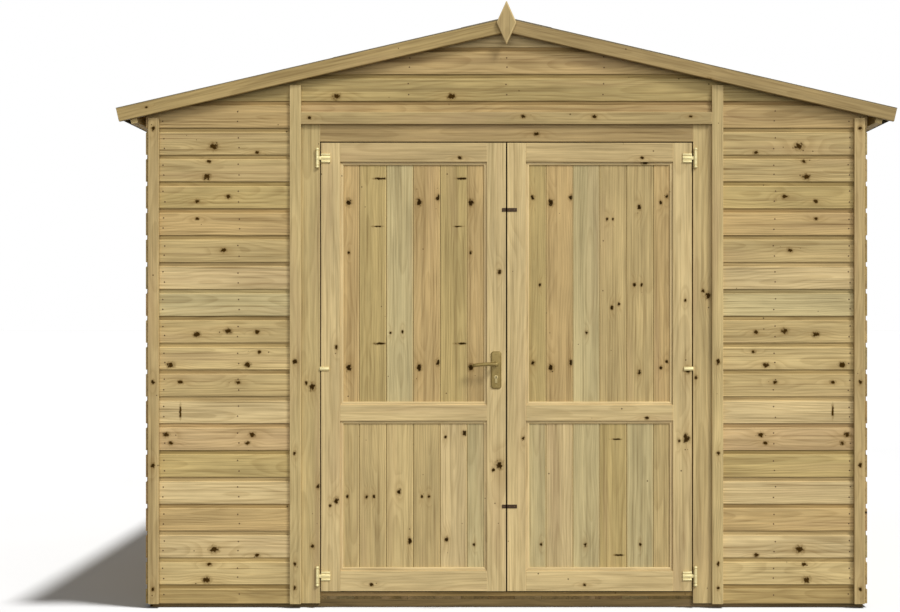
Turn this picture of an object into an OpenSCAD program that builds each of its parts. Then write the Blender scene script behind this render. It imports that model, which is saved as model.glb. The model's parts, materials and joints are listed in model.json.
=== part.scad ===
// Apex garden shed with a pair of hinged doors in the gable end.
// The front faces -Y, +Z is up, and the origin lies on the ground under the middle of the shed.
// All sizes are in millimetres.

/* [Body] */
// Width over the side wall frames
body_w = 2980; // [2400:10:3800]
// Depth over the end wall frames
body_d = 2380; // [1800:10:4200]
// Slope of the roof in degrees
roof_pitch = 13; // [10:0.1:20]
// Height of the side walls above the top of the doors
eaves_rise = 150; // [125:1:260]

/* [Floor] */
// Height of a floor bearer
bearer_h = 32; // [25:1:75]
// Width of a floor bearer
bearer_w = 44; // [34:1:75]
// Number of floor bearers, an odd number
bearer_count = 5; // [3:2:9]
// Thickness of the floor boards
floor_t = 12; // [10:1:22]
// Thickness of the threshold board
sill_t = 18; // [12:1:30]

/* [Walls] */
// Thickness of the shiplap cladding
clad_t = 14; // [10:1:20]
// Height of the cladding's lower edge above the ground
clad_lift = 17; // [5:1:30]
// Depth of the wall frames
frame_t = 44; // [34:1:60]
// Face width of a stud or rail
stud_w = 34; // [28:1:45]
// Studs in each side wall
side_studs = 5; // [3:1:8]

/* [Doors] */
// Width of one door leaf
leaf_w = 770; // [600:0.5:925]
// Height of a door leaf
leaf_h = 1870; // [1500:1:2300]
// Thickness of a door leaf
leaf_t = 38; // [32:1:45]
// Running gap round a leaf
door_gap = 5.5; // [5:0.5:6]
// Width of the stiles
stile_w = 78.5; // [70:0.5:110]
// Height of the top rail
top_rail_h = 79.5; // [70:0.5:120]
// Height of the middle rail
mid_rail_h = 66.4; // [55:0.1:110]
// Height of the bottom rail
bottom_rail_h = 85; // [60:1:120]
// Share of the leaf's height at which the middle rail starts
mid_rail_share = 0.38; // [0.3:0.005:0.5]
// Thickness of the door panel boards
panel_t = 12; // [9:1:14]
// Depth of the panel below the leaf's front face
panel_recess = 16; // [10:1:18]
// Bevel on the back of the meeting stiles
meeting_bevel = 4; // [3:0.5:8]
// Width of the jamb boards
jamb_w = 100; // [75:1:115]
// Height of the head board over the doors
head_h = 96; // [75:1:115]
// Width of the door stops
stop_w = 20; // [12:1:30]

/* [Roof] */
// Thickness of the roof boards
roof_board_t = 16; // [12:1:22]
// Thickness of the roofing felt
felt_t = 3; // [2:0.5:5]
// Depth of the felt turned down over the eaves
felt_turn = 45; // [25:1:60]
// Overhang of the roof past the side wall frames
eaves_over = 128; // [110:1:200]
// Overhang of the roof boards past the end cladding
verge_over = 25; // [23:1:60]
// Depth of a barge board, square to the slope
barge_h = 54.5; // [50:0.5:90]
// Thickness of a barge board
barge_t = 18; // [14:1:25]
// Width of an eaves batten along the slope
batten_w = 28; // [20:1:30]
// Depth of an eaves batten
batten_h = 58; // [34:1:64]
// Distance of an eaves batten from the edge of the roof
batten_inset = 44; // [40:1:50]
// Width of the ridge beam and the purlins
purlin_w = 44; // [34:1:60]
// Depth of the ridge beam and the purlins
purlin_h = 70; // [60:1:100]
// Width of a diamond finial
finial_w = 83; // [50:1:110]
// Height of a diamond finial
finial_h = 183; // [120:1:200]
// Thickness of a finial
finial_t = 18; // [16:1:25]
// Depth of a finial's centre below the top of the ridge
finial_drop = 23; // [10:1:40]

/* [Trim] */
// Width of a cover trim
trim_w = 46; // [38:1:60]
// Height of the trim over the doors
head_trim_h = 50; // [38:1:60]
// Gap between the upright trims and the barge boards
trim_drop = 9; // [2:1:20]
// Width of a corner trim
corner_trim_w = 43; // [38:1:60]
// Thickness of the trims
trim_t = 18; // [14:1:22]

/* [Hinges] */
// Radius of a hinge barrel
barrel_r = 7.2; // [5:0.1:8]
// Length of a hinge barrel without its ball tips
barrel_l = 75; // [60:1:110]
// Length of the middle knuckle, which turns with the door
knuckle_l = 14; // [10:1:26]
// Radius of the hinge pin
pin_r = 3; // [2:0.1:4]
// Radius of a ball tip
ball_r = 8.2; // [6:0.1:9]
// Distance of the hinge axis from the edge of the jamb
hinge_set = 9; // [8:0.5:12]
// Distance of the hinge axis in front of the door face
hinge_proud = 9; // [7.5:0.5:10]
// Length of the ribbed door plate
plate_l = 38; // [30:1:60]
// Height of the ribbed door plate
plate_h = 39; // [30:1:60]
// Thickness of the ribbed door plate
plate_t = 3; // [2:0.5:4]
// Radius of the plate's three ribs
rib_r = 4.5; // [3:0.1:5]
// Height of a hinge's middle from the nearer end of the leaf
hinge_end = 64; // [50:1:120]
// Length of the middle hinge bar on the leaf
mid_bar_l = 33; // [25:1:60]
// Radius of the middle hinge bar
mid_bar_r = 9; // [6:0.5:10]
// Height of the middle hinge bar above the bottom of the leaf
mid_bar_rise = 928; // [700:1:1100]

/* [Handle] */
// Width of a handle plate
handle_plate_w = 44; // [36:1:50]
// Height of a handle plate
handle_plate_h = 156; // [130:1:200]
// Thickness of a handle plate
handle_plate_t = 8; // [5:0.5:9]
// Distance of the handle's centre line from the leaf's meeting edge
backset = 40.5; // [36:0.5:50]
// Height of the lever's spindle above the bottom of the leaf
spindle_rise = 948; // [800:1:1100]
// Height of the plate's middle below the spindle
plate_drop = 25.5; // [20:0.5:36]
// Distance from the spindle down to the lock cylinder
lock_drop = 55; // [50:1:70]
// Length of the lever
lever_l = 100; // [85:1:125]
// Radius of the lever bar
lever_r = 7; // [6:0.5:8]
// Radius of the lever's neck
neck_r = 8; // [7:0.5:9]
// Radius of the square spindle's round seat
spindle_r = 5; // [4:0.5:6]
// Distance of the lever's centre line from the door face
lever_reach = 46; // [40:1:50]

/* [Catches] */
// Height of a catch plate
catch_h = 15; // [10:1:25]
// Thickness of a catch plate
catch_t = 3; // [2:0.5:4]
// Length of the short catch plates on the left leaf
catch_short = 16; // [12:1:25]
// Length of the long catch plates on the right leaf
catch_long = 41; // [30:1:55]
// Height of the upper catch plates above the bottom of the leaf
catch_high_rise = 1590.5; // [1300:0.5:1700]
// Height of the lower catch plates above the bottom of the leaf
catch_low_rise = 354; // [200:1:600]

/* [Hidden] */
$fn = 48;

timber = "#b9a574";
framing = "#c3ab78";
shadow_wood = "#8a7048";
felt = "#3d423c";
brass = "#e0cd90";
dark_metal = "#2b2018";

joint = 0.5;            // gap between two pieces of one node that would otherwise touch
seat_gap = 0.03;        // clearance between a sloping layer of the roof and what carries it
turn_gap = 0.3;         // gap between the ends of parts that turn on each other
bore_gap = 0.06;        // radial clearance of a pin or a spindle in its bore
half_w = body_w / 2;
half_d = body_d / 2;
clad_x = half_w + clad_t;
clad_y = half_d + clad_t;
verge_y = clad_y + verge_over;

floor_z = bearer_h + floor_t;
leaf_z = floor_z + sill_t + door_gap;
leaf_top = leaf_z + leaf_h;
eaves_z = leaf_top + eaves_rise;

doorway = leaf_w + 1.5 * door_gap;       // half the clear width between the jambs
jamb_x = doorway + jamb_w;
head_z = leaf_top + door_gap;
head_top = head_z + head_h;

// Heights of the roof's planes at a distance x from the middle of the shed
slope = tan(roof_pitch);
boards_d = felt_t + seat_gap;            // depths below the roof's top
frame_d = boards_d + roof_board_t + seat_gap;
skin = frame_d / cos(roof_pitch);
ridge_z = eaves_z + half_w * slope + skin;
function roof_under(x) = ridge_z - abs(x) * slope - skin;
function rafter_under(x) = roof_under(x) - frame_t / cos(roof_pitch);
function barge_under(x) = ridge_z - abs(x) * slope - (boards_d + barge_h) / cos(roof_pitch);

// A point at a distance s down the slope from the ridge and a depth d below the roof's top
function slope_point(s, d) = [
    s * cos(roof_pitch) - d * sin(roof_pitch),
    ridge_z - s * sin(roof_pitch) - d * cos(roof_pitch)
];
slope_l = (half_w + eaves_over) / cos(roof_pitch);

face_y = -clad_y;                        // front face of the leaves and the jamb boards
hinge_x = doorway + hinge_set;
hinge_y = face_y - hinge_proud;
hinge_zs = [leaf_z + hinge_end, leaf_top - hinge_end];
mid_bar_z = leaf_z + mid_bar_rise;
meeting_x = door_gap / 2;                // a leaf's meeting edge, from the middle of the doorway
outer_edge = meeting_x + leaf_w;
mid_rail_z = leaf_z + leaf_h * mid_rail_share;
handle_x = -meeting_x - backset;
spindle_z = leaf_z + spindle_rise;
lock_z = spindle_z - lock_drop;

// Helpers ------------------------------------------------------------------

module block(x0, x1, y0, y1, z0, z1) {
    translate([x0, y0, z0]) cube([x1 - x0, y1 - y0, z1 - z0]);
}

// A shape drawn in X and Z, extruded from y0 to y1
module prism(y0, y1) {
    translate([0, y1, 0]) rotate([90, 0, 0]) linear_extrude(y1 - y0) children();
}

module left_and_right() {
    children();
    mirror([1, 0, 0]) children();
}

module front_and_back() {
    children();
    mirror([0, 1, 0]) children();
}

// A post from z0 up to the sloping underside of the rafters, in an end wall
module end_post(x0, x1, z0) {
    prism(-half_d, -half_d + frame_t)
        polygon([[x0, z0], [x1, z0], [x1, rafter_under(x1)], [x0, rafter_under(x0)]]);
}

// One side of the roof between the depths d0 and d1, from the ridge to a distance s1 down the slope
module roof_layer(y0, y1, d0, d1, s1 = slope_l, ridge_x = 0) {
    prism(y0, y1) polygon([
        [ridge_x, ridge_z - ridge_x * slope - d0 / cos(roof_pitch)],
        slope_point(s1, d0),
        slope_point(s1, d1),
        [ridge_x, ridge_z - ridge_x * slope - d1 / cos(roof_pitch)]
    ]);
}

// A timber that runs the length of the roof, square to the slope
module slope_timber(s0, s1, d1, y1) {
    prism(-y1, y1)
        polygon([slope_point(s0, frame_d), slope_point(s1, frame_d), slope_point(s1, d1), slope_point(s0, d1)]);
}

// Floor ----------------------------------------------------------------------

module floor_bearers() {
    pitch = (body_d - bearer_w) / (bearer_count - 1);
    color(shadow_wood) for (i = [0 : bearer_count - 1]) {
        y = -half_d + i * pitch;
        block(-half_w, half_w, y, y + bearer_w, 0, bearer_h);
    }
}

module floor_boards() {
    color(framing) block(-half_w, half_w, -half_d, half_d, bearer_h, floor_z);
}

module threshold() {
    color(shadow_wood) block(-doorway, doorway, -half_d, -half_d + frame_t, floor_z, floor_z + sill_t);
}

// Cladding ---------------------------------------------------------------------

module front_wall_side() {
    color(timber) prism(-clad_y, -half_d) polygon([
        [jamb_x, clad_lift], [half_w, clad_lift], [half_w, roof_under(half_w)], [jamb_x, roof_under(jamb_x)]
    ]);
}

module front_gable() {
    color(timber) prism(-clad_y, -half_d) polygon([
        [-jamb_x, head_top], [jamb_x, head_top], [jamb_x, roof_under(jamb_x)],
        [0, roof_under(0)], [-jamb_x, roof_under(jamb_x)]
    ]);
}

module back_wall() {
    color(timber) prism(half_d, clad_y) polygon([
        [-half_w, clad_lift], [half_w, clad_lift], [half_w, roof_under(half_w)],
        [0, roof_under(0)], [-half_w, roof_under(half_w)]
    ]);
}

module side_wall() {
    color(timber) prism(-clad_y, clad_y) polygon([
        [half_w, clad_lift], [clad_x, clad_lift], [clad_x, roof_under(clad_x)], [half_w, roof_under(half_w)]
    ]);
}

// Wall frames -----------------------------------------------------------------------

rail_top = floor_z + stud_w;             // top of the bottom rails
plate_under = eaves_z - stud_w;          // underside of the side walls' top rails

module bottom_rails() {
    inner = half_w - frame_t - joint;
    color(framing) {
        left_and_right() block(half_w - frame_t, half_w, -half_d, half_d, floor_z, rail_top);
        left_and_right() block(doorway + frame_t, inner, -half_d, -half_d + frame_t, floor_z, rail_top);
        block(-inner, inner, half_d - frame_t, half_d, floor_z, rail_top);
    }
}

module top_rails() {
    inner = half_w - frame_t;
    color(framing) left_and_right() prism(-half_d, half_d) polygon([
        [inner, plate_under], [half_w, plate_under], [half_w, roof_under(half_w)], [inner, roof_under(inner)]
    ]);
}

module side_wall_studs() {
    pitch = (body_d - stud_w) / (side_studs - 1);
    color(framing) left_and_right() for (i = [0 : side_studs - 1]) {
        y = -half_d + i * pitch;
        block(half_w - frame_t, half_w, y, y + stud_w, rail_top, plate_under);
    }
}

module front_studs() {
    corner_x = half_w - frame_t - stud_w;
    middle_x = (doorway + frame_t + corner_x - stud_w) / 2;
    over_door_x = doorway / 2;
    color(framing) {
        left_and_right() {
            end_post(corner_x, corner_x + stud_w, rail_top);
            end_post(middle_x, middle_x + stud_w, rail_top);
            end_post(over_door_x, over_door_x + stud_w, head_top);
        }
        prism(-half_d, -half_d + frame_t) polygon([
            [-stud_w / 2, head_top], [stud_w / 2, head_top], [stud_w / 2, rafter_under(stud_w / 2)],
            [0, rafter_under(0)], [-stud_w / 2, rafter_under(stud_w / 2)]
        ]);
    }
}

module back_studs() {
    corner_x = half_w - frame_t - stud_w;
    color(framing) mirror([0, 1, 0]) {
        left_and_right() {
            end_post(corner_x, corner_x + stud_w, rail_top);
            end_post(half_w / 3 - stud_w / 2, half_w / 3 + stud_w / 2, rail_top);
            end_post(half_w * 2 / 3 - stud_w / 2, half_w * 2 / 3 + stud_w / 2, rail_top);
        }
        prism(-half_d, -half_d + frame_t) polygon([
            [-stud_w / 2, rail_top], [stud_w / 2, rail_top], [stud_w / 2, rafter_under(stud_w / 2)],
            [0, rafter_under(0)], [-stud_w / 2, rafter_under(stud_w / 2)]
        ]);
    }
}

module end_studs() {
    front_studs();
    back_studs();
}

module gable_rafters() {
    x0 = joint / 2;
    x1 = half_w - frame_t;
    color(framing) front_and_back() left_and_right() prism(-half_d, -half_d + frame_t) polygon([
        [x0, rafter_under(x0)], [x1, rafter_under(x1)], [x1, roof_under(x1)], [x0, roof_under(x0)]
    ]);
}

module door_posts() {
    color(framing) left_and_right() end_post(doorway, doorway + frame_t, floor_z);
}

module door_header() {
    color(framing) block(-doorway, doorway, -half_d, -half_d + frame_t, head_z, head_top);
}

// Roof -------------------------------------------------------------------------------

// The ridge beam and one purlin halfway down each slope
module purlins() {
    w = purlin_w / 2;
    low = roof_under(0) - purlin_h;
    y1 = half_d - frame_t;
    middle = (half_w - frame_t) / 2 / cos(roof_pitch);
    color(framing) {
        prism(-y1, y1)
            polygon([[-w, low], [w, low], [w, roof_under(w)], [0, roof_under(0)], [-w, roof_under(w)]]);
        left_and_right() slope_timber(middle - w, middle + w, frame_d + purlin_h, y1);
    }
}

module eaves_battens() {
    s1 = slope_l - batten_inset;
    color(timber) left_and_right()
        slope_timber(s1 - batten_w, s1, frame_d + batten_h, verge_y);
}

module roof_boards() {
    color(framing) roof_layer(-verge_y, verge_y, boards_d, boards_d + roof_board_t, slope_l - boards_d);
}

module roof_felt() {
    turn_s = slope_l - felt_t;
    color(felt) {
        roof_layer(-verge_y - barge_t, verge_y + barge_t, 0, felt_t);
        prism(-verge_y, verge_y) polygon([
            slope_point(turn_s, 0), slope_point(slope_l, 0), slope_point(slope_l, felt_turn), slope_point(turn_s, felt_turn)
        ]);
    }
}

module barge_boards() {
    color(timber) left_and_right()
        roof_layer(-verge_y - barge_t, -verge_y, boards_d, boards_d + barge_h, slope_l, joint / 2);
}

module finials() {
    middle_z = ridge_z - finial_drop;
    color(timber) front_and_back() prism(-verge_y - barge_t - finial_t, -verge_y - barge_t) polygon([
        [0, middle_z + finial_h / 2], [finial_w / 2, middle_z], [0, middle_z - finial_h / 2], [-finial_w / 2, middle_z]
    ]);
}

// Trim ---------------------------------------------------------------------------------

// An upright trim on an end wall, cut square just under the barge board
module end_trim(x0, x1) {
    block(x0, x1, -clad_y - trim_t, -clad_y, clad_lift, barge_under(x1) - trim_drop);
}

module corner_trims() {
    color(timber) front_and_back() left_and_right() end_trim(half_w - corner_trim_w, half_w);
}

module cover_trims() {
    back_x = half_w / 3;
    side_x = clad_x + trim_t;
    color(timber) {
        mirror([0, 1, 0]) left_and_right() end_trim(back_x - trim_w / 2, back_x + trim_w / 2);
        left_and_right() block(clad_x, side_x, -trim_w / 2, trim_w / 2, clad_lift, roof_under(side_x));
    }
}

module door_trims() {
    x0 = jamb_x - trim_w / 2;
    color(timber) {
        left_and_right() end_trim(x0, x0 + trim_w);
        block(-x0 + joint, x0 - joint, -clad_y - trim_t, -clad_y, head_top - head_trim_h / 2, head_top + head_trim_h / 2);
    }
}

module door_surround() {
    color(timber) {
        left_and_right() block(doorway, jamb_x, -clad_y, -half_d, clad_lift, head_top);
        block(-doorway + joint, doorway - joint, -clad_y, -half_d, head_z, head_top);
    }
}

module door_stops() {
    y0 = face_y + leaf_t + door_gap;
    y1 = -half_d + frame_t;
    color(framing) {
        left_and_right() block(doorway - stop_w, doorway, y0, y1, floor_z + sill_t, head_z);
        block(-doorway + stop_w + joint, doorway - stop_w - joint, y0, y1, head_z - stop_w, head_z);
    }
}

// Door leaves -----------------------------------------------------------------------------
// Each leaf is drawn on the right of the doorway; the left leaf is its mirror image.

module hinge_stile() {
    block(outer_edge - stile_w, outer_edge, face_y, face_y + leaf_t, leaf_z, leaf_top);
}

module meeting_stile() {
    x1 = meeting_x + stile_w;
    translate([0, 0, leaf_z]) linear_extrude(leaf_h) polygon([
        [meeting_x, face_y], [x1, face_y], [x1, face_y + leaf_t],
        [meeting_x + meeting_bevel, face_y + leaf_t], [meeting_x, face_y + leaf_t / 3]
    ]);
}

module door_rails() {
    x0 = meeting_x + stile_w;
    x1 = outer_edge - stile_w;
    color(timber) for (z = [
        [leaf_z, leaf_z + bottom_rail_h],
        [mid_rail_z, mid_rail_z + mid_rail_h],
        [leaf_top - top_rail_h, leaf_top]
    ]) block(x0, x1, face_y, face_y + leaf_t, z[0], z[1]);
}

module door_panels() {
    x0 = meeting_x + stile_w;
    x1 = outer_edge - stile_w;
    y0 = face_y + panel_recess;
    color(timber) for (z = [
        [leaf_z + bottom_rail_h, mid_rail_z],
        [mid_rail_z + mid_rail_h, leaf_top - top_rail_h]
    ]) block(x0, x1, y0, y0 + panel_t, z[0], z[1]);
}

module left_door_stiles() {
    color(timber) {
        mirror([1, 0, 0]) hinge_stile();
        difference() {
            mirror([1, 0, 0]) meeting_stile();
            along_door(handle_x, spindle_z, face_y - 1, face_y + leaf_t + 1) circle(neck_r + 2);
            along_door(handle_x, lock_z, face_y - 1, face_y + leaf_t + 1) lock_profile(turn_gap);
        }
    }
}

module right_door_stiles() {
    color(timber) {
        hinge_stile();
        meeting_stile();
    }
}

// Hinges ---------------------------------------------------------------------------------

// The fixed part of one hinge: two knuckles on the jamb, joined by the pin through the middle one
module hinge_barrel() {
    gap_top = knuckle_l / 2 + turn_gap;
    knuckle = barrel_l / 2 - gap_top;
    back = face_y - hinge_y;
    translate([hinge_x, hinge_y, 0]) {
        translate([0, 0, -barrel_l / 2]) cylinder(r = pin_r, h = barrel_l);
        for (side = [0, 1]) mirror([0, 0, side]) {
            translate([0, 0, gap_top]) cylinder(r = barrel_r, h = knuckle);
            translate([0, 0, barrel_l / 2]) sphere(r = ball_r);
            translate([-barrel_r / 2, 0, gap_top]) cube([barrel_r, back, knuckle]);
        }
    }
}

module hinge_barrels() {
    color(brass) left_and_right() for (z = hinge_zs) translate([0, 0, z]) hinge_barrel();
}

// The moving part of one hinge: the middle knuckle, its arm and the ribbed plate on the leaf
module hinge_plate() {
    plate_x = outer_edge - plate_l;
    difference() {
        union() {
            translate([hinge_x, hinge_y, -knuckle_l / 2]) cylinder(r = barrel_r, h = knuckle_l);
            block(plate_x, outer_edge, face_y - plate_t, face_y, -plate_h / 2, plate_h / 2);
            block(plate_x, hinge_x, face_y - plate_t - 2, face_y - 1.5, -knuckle_l / 2, knuckle_l / 2);
            for (i = [-1, 0, 1])
                translate([plate_x, face_y - plate_t, i * (plate_h / 2 - rib_r)])
                    rotate([0, 90, 0]) cylinder(r = rib_r, h = plate_l - 2);
            block(plate_x, outer_edge - 2, face_y - plate_t, face_y, -plate_h / 2, plate_h / 2);
        }
        translate([hinge_x, hinge_y, -knuckle_l]) cylinder(r = pin_r + bore_gap, h = 2 * knuckle_l);
        block(plate_x - 1, hinge_x, face_y, face_y + 2 * rib_r, -plate_h, plate_h);
    }
}

// The single bar at the middle of a leaf's hinge edge
module middle_hinge_bar() {
    x0 = outer_edge - mid_bar_l;
    intersection() {
        translate([x0, face_y, mid_bar_z]) rotate([0, 90, 0]) cylinder(r = mid_bar_r, h = mid_bar_l + door_gap);
        block(x0, outer_edge + door_gap, face_y - mid_bar_r, face_y, mid_bar_z - mid_bar_r, mid_bar_z + mid_bar_r);
    }
}

module hinge_plates() {
    color(brass) {
        for (z = hinge_zs) translate([0, 0, z]) hinge_plate();
        middle_hinge_bar();
    }
}

// Handle ------------------------------------------------------------------------------------

// A shape drawn round the point x, z, extruded through the door from y0 to y1
module along_door(x, z, y0, y1) {
    translate([x, 0, z]) prism(y0, y1) children();
}

// The outline of a profile lock cylinder: a round barrel with a narrow tail below
module lock_profile(grow) {
    lock_r = 8.5;
    tail_w = 10;
    tail_l = 24;
    circle(lock_r + grow);
    translate([-tail_w / 2 - grow, -tail_l - grow]) square([tail_w + 2 * grow, tail_l]);
}

module handle_plate(y0, y1) {
    cut = handle_plate_w / 5;
    w = handle_plate_w / 2;
    h = handle_plate_h / 2;
    difference() {
        along_door(handle_x, spindle_z - plate_drop, y0, y1) polygon([
            [-w, -h + cut], [-w + cut, -h], [w - cut, -h], [w, -h + cut],
            [w, h - cut], [w - cut, h], [-w + cut, h], [-w, h - cut]
        ]);
        along_door(handle_x, spindle_z, y0 - 1, y1 + 1) circle(neck_r + bore_gap);
        along_door(handle_x, lock_z, y0 - 1, y1 + 1) lock_profile(0);
    }
}

module handle_plates() {
    back = face_y + leaf_t;
    color(brass) {
        handle_plate(face_y - handle_plate_t, face_y);
        handle_plate(back, back + handle_plate_t);
    }
}

// A lever that starts at y0 inside the plate and stands out to y1
module lever(y0, y1) {
    along_door(handle_x, spindle_z, min(y0, y1), max(y0, y1)) circle(neck_r);
    translate([handle_x + neck_r - 1, y1, spindle_z]) rotate([0, -90, 0]) cylinder(r = lever_r, h = lever_l + neck_r - 1);
}

module outer_lever() {
    color(brass) {
        lever(face_y - 1, face_y - lever_reach);
        along_door(handle_x, spindle_z, face_y - 2, face_y + leaf_t - 1) circle(spindle_r);
    }
}

module inner_lever() {
    back = face_y + leaf_t;
    color(brass) lever(back - 1, back + lever_reach);
}

module lock_cylinder() {
    proud = handle_plate_t + 2;
    color(brass) along_door(handle_x, lock_z, face_y - proud, face_y + leaf_t + proud) lock_profile(0);
}

// Catch plates --------------------------------------------------------------------------------

module catch_plates(length) {
    color(dark_metal) for (rise = [catch_low_rise, catch_high_rise])
        block(meeting_x, meeting_x + length, face_y - catch_t, face_y,
              leaf_z + rise - catch_h / 2, leaf_z + rise + catch_h / 2);
}

// Nodes -------------------------------------------------------------------------------------------

floor_bearers();
floor_boards();
threshold();
mirror([1, 0, 0]) front_wall_side();  // front_wall_left
front_wall_side();  // front_wall_right
front_gable();
back_wall();
mirror([1, 0, 0]) side_wall();  // left_wall
side_wall();  // right_wall
end_studs();
side_wall_studs();  // side_studs
bottom_rails();
top_rails();
gable_rafters();
door_posts();
door_header();
purlins();
eaves_battens();
mirror([1, 0, 0]) roof_boards();  // left_roof_boards
roof_boards();  // right_roof_boards
mirror([1, 0, 0]) roof_felt();  // left_roof_felt
roof_felt();  // right_roof_felt
barge_boards();  // front_barge_boards
mirror([0, 1, 0]) barge_boards();  // back_barge_boards
finials();
corner_trims();
cover_trims();
door_trims();
door_surround();
door_stops();
left_door_stiles();
mirror([1, 0, 0]) door_rails();  // left_door_rails
mirror([1, 0, 0]) door_panels();  // left_door_panels
right_door_stiles();
door_rails();  // right_door_rails
door_panels();  // right_door_panels
hinge_barrels();
mirror([1, 0, 0]) hinge_plates();  // left_hinge_plates
hinge_plates();  // right_hinge_plates
handle_plates();
outer_lever();
inner_lever();
lock_cylinder();
mirror([1, 0, 0]) catch_plates(catch_short);  // left_catch_plates
catch_plates(catch_long);  // right_catch_plates
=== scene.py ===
"""Visual model of an apex garden shed with a pair of doors in its gable end."""

import json
import math
import random

import bmesh
import bpy
from bpy.props import FloatProperty, FloatVectorProperty, PointerProperty
from mathutils import Matrix, Vector


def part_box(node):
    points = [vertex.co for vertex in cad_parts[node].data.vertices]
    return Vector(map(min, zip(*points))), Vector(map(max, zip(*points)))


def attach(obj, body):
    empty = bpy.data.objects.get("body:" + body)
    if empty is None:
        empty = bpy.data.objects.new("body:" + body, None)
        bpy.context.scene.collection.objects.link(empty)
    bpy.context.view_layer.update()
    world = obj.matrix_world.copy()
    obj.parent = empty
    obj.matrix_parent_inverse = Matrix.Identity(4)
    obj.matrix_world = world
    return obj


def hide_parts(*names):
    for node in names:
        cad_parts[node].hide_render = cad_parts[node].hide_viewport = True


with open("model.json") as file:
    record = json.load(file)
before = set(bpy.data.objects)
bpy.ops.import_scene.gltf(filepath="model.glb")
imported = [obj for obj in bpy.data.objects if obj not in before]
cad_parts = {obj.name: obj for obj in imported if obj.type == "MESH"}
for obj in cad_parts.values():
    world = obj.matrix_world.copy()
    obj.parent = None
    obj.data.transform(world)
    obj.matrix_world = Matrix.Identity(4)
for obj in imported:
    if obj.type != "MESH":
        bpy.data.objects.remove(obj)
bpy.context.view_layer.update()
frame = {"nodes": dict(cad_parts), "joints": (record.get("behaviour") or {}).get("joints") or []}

bl_info = {
    "name": "Apex Garden Shed",
    "version": (1, 0, 0),
    "blender": (4, 5, 0),
    "location": "View3D > Sidebar > Shed",
    "description": "Builds the boards, doors, roof and fittings of an apex garden shed",
    "category": "Object",
}


# Sizes and colours -----------------------------------------------------------------------


def length(name, description, default, low=0.0, high=20.0):
    return FloatProperty(
        name=name, description=description, default=default, min=low, max=high,
        subtype="DISTANCE", unit="LENGTH", precision=4,
    )


def colour(name, description, default):
    return FloatVectorProperty(
        name=name, description=description, default=default, size=3, min=0.0, max=1.0, subtype="COLOR"
    )


def plain_value(name, description, default):
    return FloatProperty(name=name, description=description, default=default)


class ShedBoards(bpy.types.PropertyGroup):
    """Sizes of the boards that the walls, doors, floor and roof are made of."""

    shiplap_pitch: length("Shiplap pitch", "Height that each wall board covers", 0.112)
    shiplap_start: length("First joint", "Height of the lower edge of the second wall board", 0.0955)
    cove_height: length("Cove height", "Height of the scooped edge along the top of a wall board", 0.0192)
    cove_depth: length("Cove depth", "Depth of the scooped edge along the top of a wall board", 0.0056)
    match_pitch: length("Door board pitch", "Width that each board of a door panel covers", 0.1125)
    match_groove: length("Door board groove", "Width of the bevel on each edge of a door board", 0.0028)
    plank_pitch: length("Floor and roof plank pitch", "Width that each floor or roof plank covers", 0.112)
    arris: length("Arris", "Rounding of the edges of planed timber", 0.0018)
    bead_width: length("Bead width", "Width of the bead round a door panel", 0.013)
    bead_set: length("Bead set-back", "Depth of the bead below the face of a door", 0.009)
    nail_radius: length("Nail radius", "Radius of the nail heads in the cladding", 0.0032)


class ShedRoof(bpy.types.PropertyGroup):
    """Sizes of the roofing felt."""

    sheet_width: length("Felt width", "Width of one sheet of roofing felt", 1.0)
    lap: length("Felt lap", "Distance by which the upper sheet laps the lower one", 0.075)
    lap_rise: length("Lap thickness", "Thickness of the upper sheet where it laps", 0.0012)
    cap_width: length("Ridge cap width", "Width of the ridge cap on each side of the ridge", 0.19)
    clout_pitch: length("Clout pitch", "Distance between the felt nails", 0.11)


class ShedFinishes(bpy.types.PropertyGroup):
    """Colours of the timber, the felt and the metal."""

    cladding: colour("Cladding", "Colour of the wall boards", (0.518, 0.394, 0.174))
    joinery: colour("Joinery", "Colour of the trims, barge boards and door frames", (0.54, 0.413, 0.2))
    framing: colour("Framing", "Colour of the sawn timber inside", (0.55, 0.42, 0.2))
    base: colour("Base timber", "Colour of the bearers and the threshold", (0.125, 0.084, 0.03))
    latewood: colour("Latewood", "Colour of the dark lines of the grain", (0.24, 0.145, 0.04))
    knot: colour("Knots", "Colour of the knots", (0.044, 0.02, 0.002))
    felt: colour("Felt", "Colour of the mineral surface of the felt", (0.085, 0.084, 0.07))
    felt_edge: colour("Felt edge", "Colour of the cut edge of the felt", (0.2, 0.165, 0.1))
    pale_brass: colour("Hinge brass", "Colour of the plated hinges", (0.7, 0.6, 0.3))
    aged_brass: colour("Handle brass", "Colour of the aged handle set", (0.205, 0.143, 0.037))
    iron: colour("Iron", "Colour of the dark catch plates", (0.036, 0.018, 0.005))
    steel: colour("Nails", "Colour of the weathered nails and screws", (0.1, 0.06, 0.025))


class ShedStage(bpy.types.PropertyGroup):
    """The camera and the light."""

    distance: length("Camera distance", "Distance of the camera from the front wall", 5.8)
    eye: length("Camera height", "Height of the camera above the ground", 1.257)
    view_width: length("View width", "Width of the view at the front wall", 3.753)
    shift_x: plain_value("Shift", "Sideways shift of the view", -0.0628)
    sky: plain_value("Sky", "Strength of the even light from all round", 0.25)
    ground_key: plain_value("Ground light", "Strength of the light that the ground shows", 4.1)
    key: plain_value("Key", "Strength of the light from above on the right", 1.91)
    fill: plain_value("Fill", "Strength of the soft light from the front", 1.5)
    back: plain_value("Back light", "Strength of the soft light from behind on the left", 1.4)
    floor_glow: plain_value("Floor glow", "Share of the light that the floor throws back", 0.12)


SETTINGS = {
    "shed_boards": ShedBoards,
    "shed_roof": ShedRoof,
    "shed_finishes": ShedFinishes,
    "shed_stage": ShedStage,
}


# Modelling by hand, in code --------------------------------------------------------------


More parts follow.
